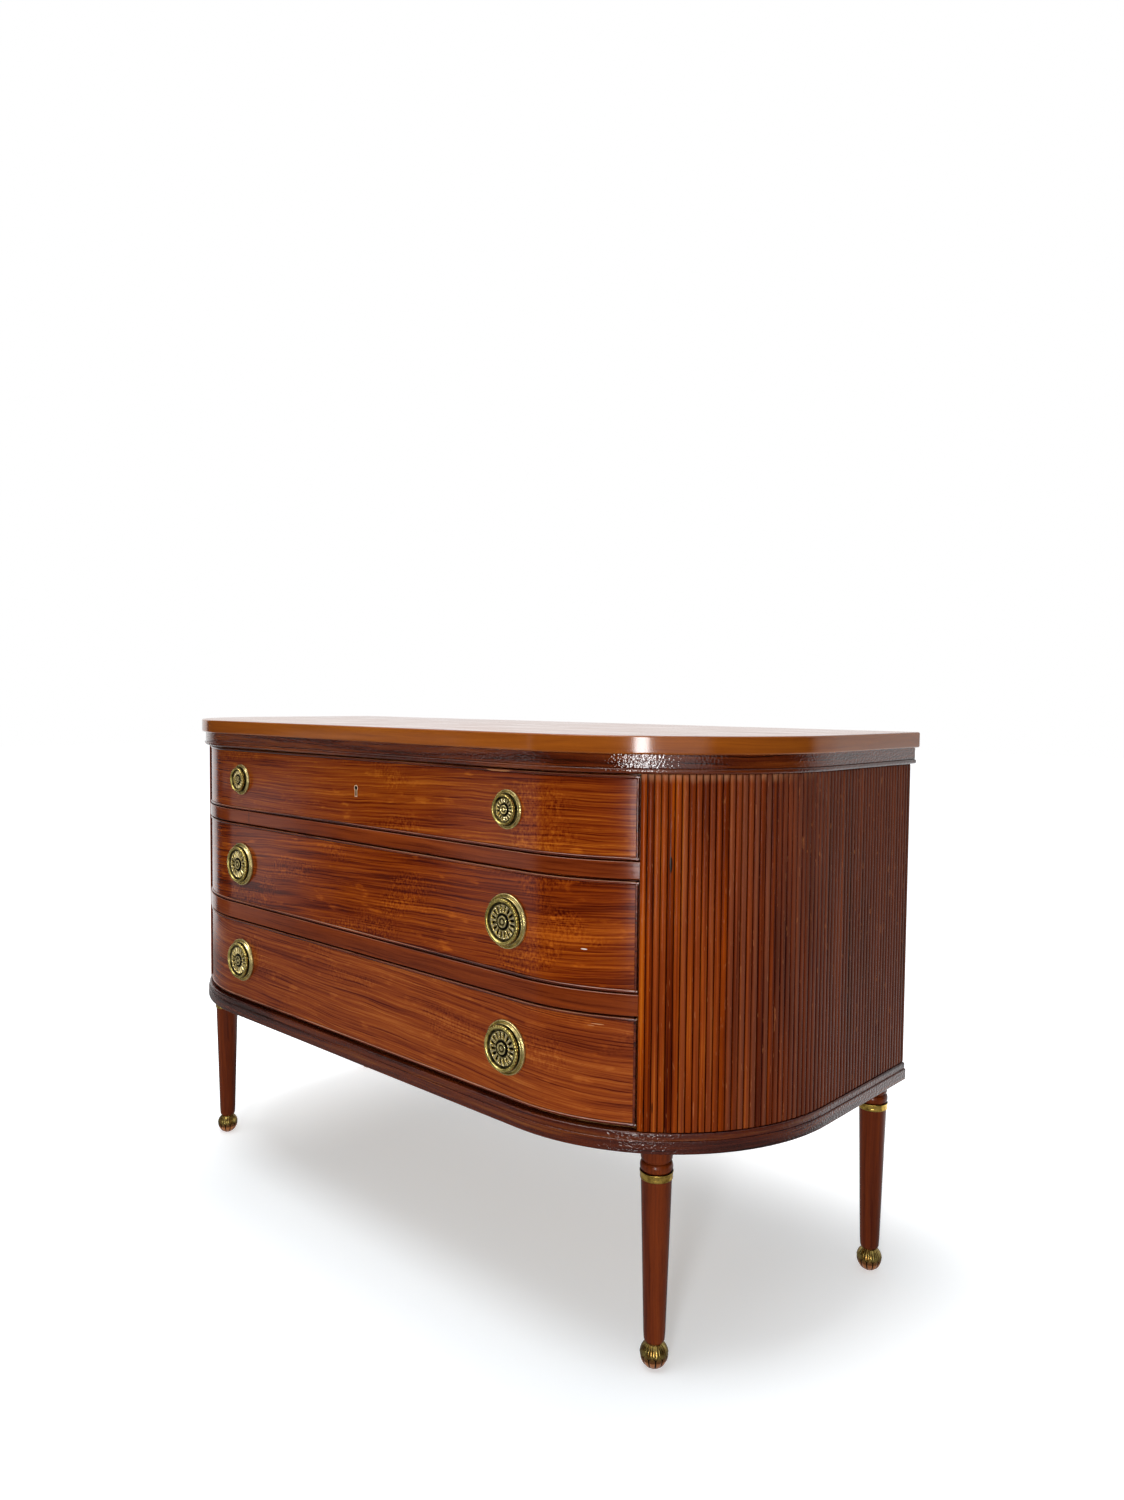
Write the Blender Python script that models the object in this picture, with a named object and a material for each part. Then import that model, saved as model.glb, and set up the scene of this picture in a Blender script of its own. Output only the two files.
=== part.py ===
"""A low chest of three drawers on turned legs.

The plan is a D: a straight front, quarter-round corners, short straight sides and a flat back.
The drawer fronts bend a little way round the corners, and reeded panels close the rest.
The origin is on the floor under the middle of the top, +Z is up and the drawers open towards -Y.
"""
import math

import bmesh
import bpy
from mathutils import Matrix, Vector

# Plan of the top slab
TOP_WIDTH = 1.2000
TOP_DEPTH = 0.4880
CORNER_RADIUS = 0.2705

# How far each layer of the case stands in from the slab's edge
FRIEZE_INSET = 0.0060
FRIEZE_BEAD_INSET = 0.0042
REED_INSET = 0.0107
DIVIDER_INSET = 0.0130
COCKBEAD_INSET = 0.0140
FIELD_INSET = 0.0155
BASE_UPPER_INSET = 0.0096
BASE_LOWER_INSET = 0.0080

# Heights, from the floor to the top
FLOOR_CLEARANCE = 0.2620
BASE_LOWER_HEIGHT = 0.0148
BASE_UPPER_HEIGHT = 0.0085
LOWER_FRONT_LIFT = 0.0040
LOWER_FRONT_HEIGHT = 0.1252
LOWER_DIVIDER_HEIGHT = 0.0242
MIDDLE_FRONT_HEIGHT = 0.1274
UPPER_DIVIDER_HEIGHT = 0.0194
TOP_FRONT_HEIGHT = 0.0964
FRIEZE_HEIGHT = 0.0215
FRIEZE_BEAD_HEIGHT = 0.0057
SLAB_THICKNESS = 0.0207
SLAB_ARRIS = 0.0018

# Clearances: between pieces that touch, under a drawer, beside it, and around its front
SEAT_GAP = 0.0003
RUN_GAP = 0.0005
SIDE_GAP = 0.0010
FRONT_FOOT_GAP = 0.0010
FRONT_HEAD_GAP = 0.0024
FRONT_END_GAP = 0.0012

# Case boards
MOULDING_WIDTH = 0.0160
BACK_THICKNESS = 0.0120
PARTITION_THICKNESS = 0.0140
PARTITION_SET_BACK = 0.0015
STILE_TURN = math.radians(11.0)
STILE_STEPS = 3
RAIL_DEPTH = 0.0950
RUNNER_WIDTH = 0.0280
REAR_RAIL_WIDTH = 0.0300

# Reeded side panels
REED_PITCH = 0.0078
REED_DEPTH = 0.0026
REED_CREST_SHARES = ((0.0, 0.0), (0.28, 0.9), (0.72, 0.9))
PANEL_THICKNESS = 0.0140
PANEL_STEPS = 16

# Drawers
DRAWER_TURN = math.radians(33.6)
DRAWER_STEPS = 6
SIDE_STEPS = 8
FRONT_THICKNESS = 0.0200
COCKBEAD_WIDTH = 0.0038
COCKBEAD_DEPTH = 0.0095
JOIN_OVERLAP = 0.0020
SIDE_SET_BACK = 0.0095
SIDE_THICKNESS = 0.0100
SIDE_DROP = 0.0100
BACK_DROP = 0.0050
BACK_BOARD_THICKNESS = 0.0100
BACK_CLEARANCE = 0.0180
BOTTOM_THICKNESS = 0.0070
BOTTOM_LIFT = 0.0080
GROOVE_DEPTH = 0.0050

# Round brass knobs, large on the two deep drawers and small on the shallow one; they stand this far in
# from where the front starts to bend
KNOB_MARGIN = 0.0275
KNOB_SEGMENTS = 32
PLATE_SEGMENTS = 24
KNOB_SLOT_BORDER = 0.00035
LARGE_PLATE_RADIUS = 0.0327
LARGE_PLATE_HEIGHT = 0.0044
LARGE_HEAD_RADIUS = 0.0268
LARGE_ROSETTE_RADIUS = 0.0200
LARGE_EYE_RADIUS = 0.0108
LARGE_BOSS_RADIUS = 0.0080
LARGE_HEAD_HEIGHT = 0.0098
SMALL_PLATE_RADIUS = 0.0233
SMALL_PLATE_HEIGHT = 0.0032
SMALL_HEAD_RADIUS = 0.0172
SMALL_ROSETTE_RADIUS = 0.0130
SMALL_EYE_RADIUS = 0.0084
SMALL_BOSS_RADIUS = 0.0064
SMALL_HEAD_HEIGHT = 0.0074
SLOT_DEPTH_SHARE = 0.42
PLATE_SHARES = ((1.0, 0.0), (1.0, 0.45), (0.965, 0.72), (0.915, 0.55), (0.885, 0.9), (0.83, 1.0))
HEAD_RIM_SHARES = ((0.86, 0.0), (1.0, 0.34), (0.985, 0.62), (0.92, 0.74))
HEAD_ROSETTE_SHARES = (0.56, 0.50, 0.60)
HEAD_BOSS_SHARES = ((1.0, 0.88), (0.62, 1.0))

# Lock of the shallow drawer
KEYHOLE_LIFT = 0.0020
KEYHOLE_EYE_RADIUS = 0.0030
KEYHOLE_SLOT_WIDTH = 0.0030
KEYHOLE_HEIGHT = 0.0140
KEYHOLE_RIM = 0.0013
KEYHOLE_RIM_DEPTH = 0.0050
KEYHOLE_SEGMENTS = 10
LOCK_WIDTH = 0.0600
LOCK_HEIGHT = 0.0400
LOCK_DEPTH = 0.0100
LOCK_HEAD_GAP = 0.0010
BOLT_WIDTH = 0.0180
BOLT_DEPTH = 0.0050
BOLT_HEIGHT = 0.0280
BOLT_TRAVEL = 0.0070
BOLT_CLEARANCE = 0.0004
MORTISE_CLEARANCE = 0.0010

# Legs, with their brass ring and gadrooned ball foot
FRONT_LEG_INSET = 0.0346
FRONT_LEG_TURN = math.radians(38.9)
BACK_LEG_INSET = 0.0387
BACK_LEG_MARGIN = 0.0316
LEG_SEGMENTS = 16
TENON_RADIUS = 0.0085
TENON_LENGTH = 0.0180
CAP_RADIUS = 0.0186
CAP_HEIGHT = 0.0222
CAP_ROUND = 0.0040
CAP_GROOVE_RADIUS = 0.0172
CAP_GROOVE_HEIGHT = 0.0012
COLLAR_RADIUS = 0.0193
COLLAR_HEIGHT = 0.0086
RING_RADIUS = 0.0196
RING_HEIGHT = 0.0100
RING_SEAT_RADIUS = 0.0172
TAPER_TOP_RADIUS = 0.0180
TAPER_FOOT_RADIUS = 0.01275
ANKLE_ROUND = 0.0110
NECK_RADIUS = 0.0098
BALL_RADIUS = 0.0170
BALL_FLAT_RADIUS = 0.0052
BALL_STEPS = 6
GADROONS = 12
GADROON_DEPTH = 0.0008

# Cutters run past what they cut by this much
OVERRUN = 0.0040

# Places that follow from the sizes above
HALF_WIDTH = TOP_WIDTH / 2
BACK_Y = TOP_DEPTH / 2
CORNER_X = HALF_WIDTH - CORNER_RADIUS
CORNER_Y = CORNER_RADIUS - BACK_Y
KNOB_X = CORNER_X - KNOB_MARGIN
MOULDING_BACK_INSET = BASE_LOWER_INSET + MOULDING_WIDTH
FRIEZE_BACK_INSET = FRIEZE_INSET + MOULDING_WIDTH
PANEL_BACK_INSET = REED_INSET + PANEL_THICKNESS
FRONT_BACK_INSET = FIELD_INSET + FRONT_THICKNESS
COCKBEAD_BACK_INSET = COCKBEAD_INSET + COCKBEAD_DEPTH

BASE_STEP_Z = FLOOR_CLEARANCE + BASE_LOWER_HEIGHT
CASE_Z = BASE_STEP_Z + BASE_UPPER_HEIGHT
LOWER_FRONT_Z = CASE_Z + LOWER_FRONT_LIFT
LOWER_DIVIDER_Z = LOWER_FRONT_Z + LOWER_FRONT_HEIGHT + FRONT_HEAD_GAP
MIDDLE_RUN_Z = LOWER_DIVIDER_Z + LOWER_DIVIDER_HEIGHT
MIDDLE_FRONT_Z = MIDDLE_RUN_Z + FRONT_FOOT_GAP
UPPER_DIVIDER_Z = MIDDLE_FRONT_Z + MIDDLE_FRONT_HEIGHT + FRONT_HEAD_GAP
TOP_RUN_Z = UPPER_DIVIDER_Z + UPPER_DIVIDER_HEIGHT
TOP_FRONT_Z = TOP_RUN_Z + FRONT_FOOT_GAP
FRIEZE_Z = TOP_FRONT_Z + TOP_FRONT_HEIGHT + FRONT_HEAD_GAP
SLAB_Z = FRIEZE_Z + FRIEZE_HEIGHT


def corner_station(side, turn):
    """A place on the slab's edge, this far round a front corner, with its outward normal."""
    across, along = side * math.sin(turn), -math.cos(turn)
    return (side * CORNER_X + CORNER_RADIUS * across, CORNER_Y + CORNER_RADIUS * along, across, along)


def bow(turn):
    """Stations along the front, from one corner to the other, bending round each by this turn."""
    turns = [DRAWER_TURN * step / DRAWER_STEPS for step in range(DRAWER_STEPS)] + [turn]
    return [corner_station(-1, t) for t in reversed(turns)] + [corner_station(1, t) for t in turns]


def rim():
    """Stations all the way from the back of the left side to the back of the right side."""
    rest = math.pi / 2 - DRAWER_TURN
    turns = [DRAWER_TURN + rest * step / SIDE_STEPS for step in range(1, SIDE_STEPS + 1)]
    left = [(-HALF_WIDTH, BACK_Y, -1, 0)] + [corner_station(-1, turn) for turn in reversed(turns)]
    right = [corner_station(1, turn) for turn in turns] + [(HALF_WIDTH, BACK_Y, 1, 0)]
    return left + bow(DRAWER_TURN) + right


def place(station, inset):
    """The point that lies this far in from the slab's edge at a station."""
    x, y, across, along = station
    return (x - across * inset, y - along * inset)


def arc_length_turn(inset, length):
    """The turn that covers this length on the corner arc at this inset."""
    return length / (CORNER_RADIUS - inset)


FRONT_TURN = DRAWER_TURN - arc_length_turn(FIELD_INSET, FRONT_END_GAP)
FIELD_TURN = FRONT_TURN - arc_length_turn(FIELD_INSET, COCKBEAD_WIDTH)
RAIL_TURN = DRAWER_TURN - arc_length_turn(DIVIDER_INSET, SEAT_GAP)
FRONT_LINE = [place(station, FRONT_BACK_INSET) for station in bow(FRONT_TURN)]

SIDE_OUTER_X = FRONT_LINE[-1][0] - SIDE_SET_BACK
SIDE_INNER_X = SIDE_OUTER_X - SIDE_THICKNESS
PARTITION_X = SIDE_OUTER_X + SIDE_GAP
PARTITION_FRONT_Y = FRONT_LINE[-1][1] + PARTITION_SET_BACK
BACK_PANEL_Y = BACK_Y - BACK_THICKNESS
DRAWER_BACK_Y = BACK_PANEL_Y - BACK_CLEARANCE
FIELD_Y = FIELD_INSET - BACK_Y
FRONT_BACK_Y = FRONT_BACK_INSET - BACK_Y
RAIL_BACK_Y = DIVIDER_INSET + RAIL_DEPTH - BACK_Y


def finish(name, colour, roughness, metallic=0.0):
    """A plain surface for one kind of piece."""
    material = bpy.data.materials.new(name)
    material.use_nodes = True
    shader = material.node_tree.nodes["Principled BSDF"]
    shader.inputs["Base Color"].default_value = (*colour, 1.0)
    shader.inputs["Roughness"].default_value = roughness
    shader.inputs["Metallic"].default_value = metallic
    return material


def shaped(name, bm):
    """Turn an edited shape into a mesh with outward faces, smooth where it is round."""
    bmesh.ops.recalc_face_normals(bm, faces=bm.faces)
    mesh = bpy.data.meshes.new(name)
    bm.to_mesh(mesh)
    bm.free()
    mesh.shade_smooth()
    mesh.set_sharp_from_angle(angle=math.radians(35))
    return mesh


def add(name, mesh, material, location=(0, 0, 0), parent=None):
    """One named piece, placed in the world and carried by its parent."""
    if not mesh.materials:
        mesh.materials.append(material)
    piece = bpy.data.objects.new(name, mesh)
    bpy.context.collection.objects.link(piece)
    piece.location = location
    if parent:
        piece.parent = parent
        piece.matrix_parent_inverse = Matrix.Translation(-parent.location)
    return piece


def prism(name, outline, low, high):
    """A board with this outline, between two heights."""
    bm = bmesh.new()
    face = bm.faces.new([bm.verts.new((x, y, low)) for x, y in outline])
    grown = bmesh.ops.extrude_face_region(bm, geom=[face])["geom"]
    lifted = [item for item in grown if isinstance(item, bmesh.types.BMVert)]
    bmesh.ops.translate(bm, verts=lifted, vec=Vector((0, 0, high - low)))
    return shaped(name, bm)


def block(name, low, high):
    """A rectangular board between two corners."""
    outline = [(low[0], low[1]), (high[0], low[1]), (high[0], high[1]), (low[0], high[1])]
    return prism(name, outline, low[2], high[2])


def run_along(name, rings):
    """A solid through a row of rings of equal count, with its two ends closed."""
    bm = bmesh.new()
    rows = [[bm.verts.new(point) for point in ring] for ring in rings]
    for row, after in zip(rows, rows[1:]):
        for k in range(len(row)):
            j = (k + 1) % len(row)
            bm.faces.new((row[k], row[j], after[j], after[k]))
    bm.faces.new(rows[0])
    bm.faces.new(rows[-1])
    return shaped(name, bm)


def swept(name, stations, section):
    """A moulding or bent board: a section of (inset, height) points taken along the stations."""
    return run_along(name, [[(*place(station, inset), z) for inset, z in section] for station in stations])


def strip(name, stations, outer, inner, low, high):
    """A bent board of even thickness."""
    return swept(name, stations, [(outer, low), (inner, low), (inner, high), (outer, high)])


def turned(profile, segments):
    """A solid turned about Z from a profile of (radius, height) points; both its ends are flat."""
    bm = bmesh.new()
    row = [bm.verts.new((radius, 0, height)) for radius, height in profile]
    for lower, upper in zip(row, row[1:]):
        bm.edges.new((lower, upper))
    bmesh.ops.spin(bm, geom=bm.verts[:] + bm.edges[:], axis=(0, 0, 1), cent=(0, 0, 0),
                   angle=2 * math.pi, steps=segments, use_merge=True)
    middle = (profile[0][1] + profile[-1][1]) / 2
    open_edges = [edge for edge in bm.edges if edge.is_boundary]
    bmesh.ops.contextual_create(bm, geom=[edge for edge in open_edges if edge.verts[0].co.z < middle])
    bmesh.ops.contextual_create(bm, geom=[edge for edge in open_edges if edge.verts[0].co.z > middle])
    return bm


def combine(piece, mesh, operation):
    """Join a second shape to a piece, or cut it away; the second shape stays as a hidden guide."""
    guide = bpy.data.objects.new(mesh.name, mesh)
    bpy.context.collection.objects.link(guide)
    guide.hide_render = True
    guide.display_type = 'WIRE'
    modifier = piece.modifiers.new(mesh.name, 'BOOLEAN')
    modifier.operation = operation
    modifier.object = guide


def rounded_levels(inset, low, high, arris):
    """Levels of (inset, height) up a slab's edge, with both its arrises taken off."""
    return [(inset + arris, low), (inset, low + arris), (inset, high - arris), (inset + arris, high)]


def make_slab(wood):
    """The top, a single board with its arrises eased."""
    levels = rounded_levels(0, SLAB_Z, SLAB_Z + SLAB_THICKNESS, SLAB_ARRIS)
    rings = [[(*place(station, inset), z) for station in rim()] for inset, z in levels]
    add("top_slab", run_along("top_slab", rings), wood)


def make_mouldings(wood):
    """The frieze with its bead, and the two-step base; both stop at the flat back."""
    top = SLAB_Z - SEAT_GAP
    bead_top = FRIEZE_Z + FRIEZE_BEAD_HEIGHT
    bead_round = FRIEZE_BEAD_HEIGHT / 4
    frieze = [(FRIEZE_BACK_INSET, FRIEZE_Z), (FRIEZE_INSET, FRIEZE_Z),
              (FRIEZE_BEAD_INSET, FRIEZE_Z + bead_round), (FRIEZE_BEAD_INSET, bead_top - bead_round),
              (FRIEZE_INSET, bead_top), (FRIEZE_INSET, top), (FRIEZE_BACK_INSET, top)]
    add("frieze_moulding", swept("frieze_moulding", rim(), frieze), wood)

    step = BASE_UPPER_INSET - BASE_LOWER_INSET
    base = [(MOULDING_BACK_INSET, FLOOR_CLEARANCE), (BASE_LOWER_INSET + step, FLOOR_CLEARANCE),
            (BASE_LOWER_INSET, FLOOR_CLEARANCE + step), (BASE_LOWER_INSET, BASE_STEP_Z - step),
            (BASE_UPPER_INSET, BASE_STEP_Z), (BASE_UPPER_INSET, CASE_Z - step),
            (BASE_UPPER_INSET + step, CASE_Z), (MOULDING_BACK_INSET, CASE_Z)]
    add("base_moulding", swept("base_moulding", rim(), base), wood)


def leg_places():
    """Each leg's name and where its axis stands."""
    places = []
    for side, hand in ((-1, "left"), (1, "right")):
        places.append(("front_" + hand, place(corner_station(side, FRONT_LEG_TURN), FRONT_LEG_INSET)))
        places.append(("back_" + hand, (side * (HALF_WIDTH - BACK_LEG_INSET), BACK_Y - BACK_LEG_MARGIN)))
    return places


def make_bottom_board(wood):
    """The case's floor, bored for the tenons of the legs."""
    outline = [place(station, MOULDING_BACK_INSET + SEAT_GAP) for station in rim()]
    board = add("bottom_board", prism("bottom_board", outline, FLOOR_CLEARANCE, CASE_Z), wood)
    for name, (x, y) in leg_places():
        radius = TENON_RADIUS + SEAT_GAP
        profile = [(radius, FLOOR_CLEARANCE - OVERRUN), (radius, FLOOR_CLEARANCE + TENON_LENGTH + SEAT_GAP)]
        bore = turned(profile, LEG_SEGMENTS)
        bmesh.ops.translate(bore, verts=bore.verts, vec=(x, y, 0))
        combine(board, shaped("bore_" + name, bore), 'DIFFERENCE')


def reeded_line(side):
    """The outer face of a side panel, from its front end to the back, reed by reed."""
    radius = CORNER_RADIUS - REED_INSET
    bend = (math.pi / 2 - DRAWER_TURN) * radius
    length = bend + BACK_Y - CORNER_Y
    count = round(length / REED_PITCH)
    pitch = length / count
    line = []
    for reed in range(count):
        for along_share, rise_share in REED_CREST_SHARES:
            travel = (reed + along_share) * pitch
            inset = REED_INSET + REED_DEPTH * (1 - rise_share)
            if travel < bend:
                station = corner_station(side, DRAWER_TURN + travel / radius)
            else:
                station = (side * HALF_WIDTH, CORNER_Y + travel - bend, side, 0)
            line.append(place(station, inset))
    line.append(place((side * HALF_WIDTH, BACK_Y, side, 0), REED_INSET + REED_DEPTH))
    return line


def make_side_panels(wood):
    """The reeded panels that close the case between the drawers and the back."""
    span = math.pi / 2 - DRAWER_TURN
    for side, hand in ((-1, "left"), (1, "right")):
        inner = [(side * HALF_WIDTH, BACK_Y, side, 0)]
        inner += [corner_station(side, DRAWER_TURN + span * step / PANEL_STEPS)
                  for step in range(PANEL_STEPS, -1, -1)]
        outline = reeded_line(side) + [place(station, PANEL_BACK_INSET) for station in inner]
        name = "reeded_panel_" + hand
        add(name, prism(name, outline, CASE_Z + SEAT_GAP, FRIEZE_Z - SEAT_GAP), wood)


def make_back_panel(wood):
    """The plain back, between the two side panels."""
    half = HALF_WIDTH - PANEL_BACK_INSET - SEAT_GAP
    low = (-half, BACK_PANEL_Y, CASE_Z + SEAT_GAP)
    high = (half, BACK_Y, SLAB_Z - SEAT_GAP)
    add("back_panel", block("back_panel", low, high), wood)


def make_partitions(wood):
    """The boards beside the drawers, each with a stile that backs the front end of a side panel."""
    radius = CORNER_RADIUS - PANEL_BACK_INSET - SEAT_GAP
    start = math.acos((CORNER_Y - PARTITION_FRONT_Y) / radius)
    turns = [start + STILE_TURN * step / STILE_STEPS for step in range(STILE_STEPS + 1)]
    outer_x = PARTITION_X + PARTITION_THICKNESS
    for side, hand in ((-1, "left"), (1, "right")):
        stile = [place(corner_station(side, turn), CORNER_RADIUS - radius) for turn in turns]
        outline = [(side * PARTITION_X, PARTITION_FRONT_Y), *stile, (side * outer_x, stile[-1][1]),
                   (side * outer_x, BACK_PANEL_Y - SEAT_GAP), (side * PARTITION_X, BACK_PANEL_Y - SEAT_GAP)]
        name = "partition_" + hand
        add(name, prism(name, outline, CASE_Z + SEAT_GAP, SLAB_Z - SEAT_GAP), wood)


def rail_outline(inset, turn):
    """A rail that bends with the front and is let in between the partitions."""
    front = [place(station, inset) for station in bow(turn)]
    shoulder_y = PARTITION_FRONT_Y - SEAT_GAP
    shoulder_x = CORNER_X + (CORNER_Y - shoulder_y) * math.tan(turn)
    inner_x = PARTITION_X - SEAT_GAP
    right = [(shoulder_x, shoulder_y), (inner_x, shoulder_y), (inner_x, RAIL_BACK_Y)]
    left = [(-x, y) for x, y in reversed(right)]
    return front + right + left


def bolt_place():
    """The middle of the lock's bolt, behind the shallow drawer's front."""
    return (0.0, FRONT_BACK_Y + SEAT_GAP + LOCK_DEPTH / 2)


def make_rails(wood):
    """The rail under the top, mortised for the lock's bolt, and the two dividers."""
    turn = DRAWER_TURN - arc_length_turn(FRIEZE_BACK_INSET, SEAT_GAP)
    outline = rail_outline(FRIEZE_BACK_INSET + SEAT_GAP, turn)
    top_rail = add("top_front_rail", prism("top_front_rail", outline, FRIEZE_Z, SLAB_Z - SEAT_GAP), wood)
    x, y = bolt_place()
    half_width = BOLT_WIDTH / 2 + MORTISE_CLEARANCE
    half_depth = BOLT_DEPTH / 2 + MORTISE_CLEARANCE
    ceiling = TOP_FRONT_Z + TOP_FRONT_HEIGHT - LOCK_HEAD_GAP + BOLT_TRAVEL + MORTISE_CLEARANCE
    mortise = block("bolt_mortise", (x - half_width, y - half_depth, FRIEZE_Z - OVERRUN),
                    (x + half_width, y + half_depth, ceiling))
    combine(top_rail, mortise, 'DIFFERENCE')

    outline = rail_outline(DIVIDER_INSET, RAIL_TURN)
    add("divider_upper", prism("divider_upper", outline, UPPER_DIVIDER_Z, TOP_RUN_Z), wood)
    add("divider_lower", prism("divider_lower", outline, LOWER_DIVIDER_Z, MIDDLE_RUN_Z), wood)


def make_runner_frames(wood):
    """Behind each divider, two runners for the sides of the drawer above, joined by a rear rail."""
    outer = PARTITION_X - SEAT_GAP
    inner = outer - RUNNER_WIDTH
    front, back = RAIL_BACK_Y + SEAT_GAP, BACK_PANEL_Y - SEAT_GAP
    rear = back - REAR_RAIL_WIDTH
    outline = [(-outer, front), (-inner, front), (-inner, rear), (inner, rear), (inner, front),
               (outer, front), (outer, back), (-outer, back)]
    for level, low, high in (("lower", LOWER_DIVIDER_Z, MIDDLE_RUN_Z), ("upper", UPPER_DIVIDER_Z, TOP_RUN_Z)):
        name = "runner_frame_" + level
        add(name, prism(name, outline, low, high), wood)


def front_line_y(x):
    """Where the inner face of the drawer fronts lies at this distance from the middle."""
    for (x0, y0), (x1, y1) in zip(FRONT_LINE, FRONT_LINE[1:]):
        if x0 <= x <= x1:
            return y0 + (y1 - y0) * (x - x0) / (x1 - x0)
    return FRONT_LINE[-1][1]


def make_drawer_front(drawer, low, high, groove, wood, bead_wood, parent):
    """The bowed front, rebated for a cockbead all round and grooved inside for the bottom."""
    ends = bow(FRONT_TURN)
    rebate = COCKBEAD_BACK_INSET + SEAT_GAP
    groove_inset = FRONT_BACK_INSET - GROOVE_DEPTH
    section = [(rebate, low), (FRONT_BACK_INSET, low), (FRONT_BACK_INSET, groove[0]),
               (groove_inset, groove[0]), (groove_inset, groove[1]), (FRONT_BACK_INSET, groove[1]),
               (FRONT_BACK_INSET, high), (rebate, high)]
    front = add(drawer + "_front", swept(drawer + "_front", ends, section), wood, parent=parent)
    field_ends = bow(FIELD_TURN)
    field = strip(drawer + "_field", field_ends, FIELD_INSET, rebate + JOIN_OVERLAP,
                  low + COCKBEAD_WIDTH, high - COCKBEAD_WIDTH)
    combine(front, field, 'UNION')

    bead_mesh = strip(drawer + "_cockbead", ends, COCKBEAD_INSET, COCKBEAD_BACK_INSET, low, high)
    bead = add(drawer + "_cockbead", bead_mesh, bead_wood, parent=parent)
    window_ends = bow(FIELD_TURN + arc_length_turn(FIELD_INSET, SEAT_GAP))
    window = strip(drawer + "_window", window_ends, COCKBEAD_INSET - OVERRUN, COCKBEAD_BACK_INSET + OVERRUN,
                   low + COCKBEAD_WIDTH - SEAT_GAP, high - COCKBEAD_WIDTH + SEAT_GAP)
    combine(bead, window, 'DIFFERENCE')
    return front


def make_drawer_box(drawer, run, top, groove, wood, parent):
    """Two sides, a back and a bottom let into the grooves."""
    for side, hand in ((-1, "left"), (1, "right")):
        depths = ((0, run), (SIDE_THICKNESS, run), (SIDE_THICKNESS, groove[0]),
                  (SIDE_THICKNESS - GROOVE_DEPTH, groove[0]), (SIDE_THICKNESS - GROOVE_DEPTH, groove[1]),
                  (SIDE_THICKNESS, groove[1]), (SIDE_THICKNESS, top), (0, top))
        points = [(SIDE_OUTER_X - depth, z) for depth, z in depths]
        rings = [[(side * x, front_line_y(x) + SEAT_GAP, z) for x, z in points],
                 [(side * x, DRAWER_BACK_Y, z) for x, z in points]]
        name = drawer + "_side_" + hand
        add(name, run_along(name, rings), wood, parent=parent)

    inner = SIDE_INNER_X - SEAT_GAP
    low = (-inner, DRAWER_BACK_Y - BACK_BOARD_THICKNESS, groove[1])
    high = (inner, DRAWER_BACK_Y, top - BACK_DROP)
    add(drawer + "_back", block(drawer + "_back", low, high), wood, parent=parent)

    edge_x = SIDE_INNER_X + GROOVE_DEPTH - SEAT_GAP
    tongue = GROOVE_DEPTH - SEAT_GAP
    stations = bow(FRONT_TURN)
    line = [place(station, FRONT_BACK_INSET - tongue) for station in stations]
    front_edge = [point for point in line if abs(point[0]) < edge_x]
    corner_y = front_line_y(edge_x) - tongue
    outline = [(-edge_x, corner_y), *front_edge, (edge_x, corner_y), (edge_x, DRAWER_BACK_Y),
               (-edge_x, DRAWER_BACK_Y)]
    name = drawer + "_bottom"
    add(name, prism(name, outline, groove[0] + SEAT_GAP, groove[1] - SEAT_GAP), wood, parent=parent)


def knob_meshes(size, radii, plate_height, head_height):
    """A stepped back plate, and a dished head with a ring of slots round a raised boss."""
    plate_radius, head_radius, rosette_radius, eye_radius, boss_radius = radii
    plate = turned([(plate_radius * r, plate_height * z) for r, z in PLATE_SHARES], PLATE_SEGMENTS)

    foot = plate_height + SEAT_GAP
    outer_share, inner_share, boss_share = HEAD_ROSETTE_SHARES
    profile = [(head_radius * r, foot + head_height * z) for r, z in HEAD_RIM_SHARES]
    profile += [(rosette_radius, foot + head_height * outer_share),
                (eye_radius, foot + head_height * inner_share),
                (boss_radius, foot + head_height * boss_share)]
    profile += [(boss_radius * r, foot + head_height * z) for r, z in HEAD_BOSS_SHARES]
    head = turned(profile, KNOB_SEGMENTS)

    middle = (rosette_radius + eye_radius) / 2
    reach = (rosette_radius - eye_radius) / 4
    ring = [face for face in head.faces
            if abs(face.calc_center_median().xy.length - middle) < reach and face.normal.z > 0]
    ring.sort(key=lambda face: math.atan2(face.calc_center_median().y, face.calc_center_median().x))
    slots = ring[::2]
    bmesh.ops.inset_individual(head, faces=slots, thickness=KNOB_SLOT_BORDER)
    sunk = bmesh.ops.extrude_discrete_faces(head, faces=slots)["faces"]
    corners = list({vert for face in sunk for vert in face.verts})
    bmesh.ops.translate(head, verts=corners, vec=(0, 0, -SLOT_DEPTH_SHARE * head_height))
    return shaped(size + "_knob_plate", plate), shaped(size + "_knob_head", head)


def make_knobs(drawer, meshes, height, brass, parent):
    """A pair of knobs on the straight part of a drawer's front."""
    plate, head = meshes
    for side, hand in ((-1, "left"), (1, "right")):
        spot = (side * KNOB_X, FIELD_Y - SEAT_GAP, height)
        for part, mesh in (("knob_plate", plate), ("knob_head", head)):
            piece = add(f"{drawer}_{part}_{hand}", mesh, brass, spot, parent)
            piece.rotation_euler = (math.pi / 2, 0, 0)


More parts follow.
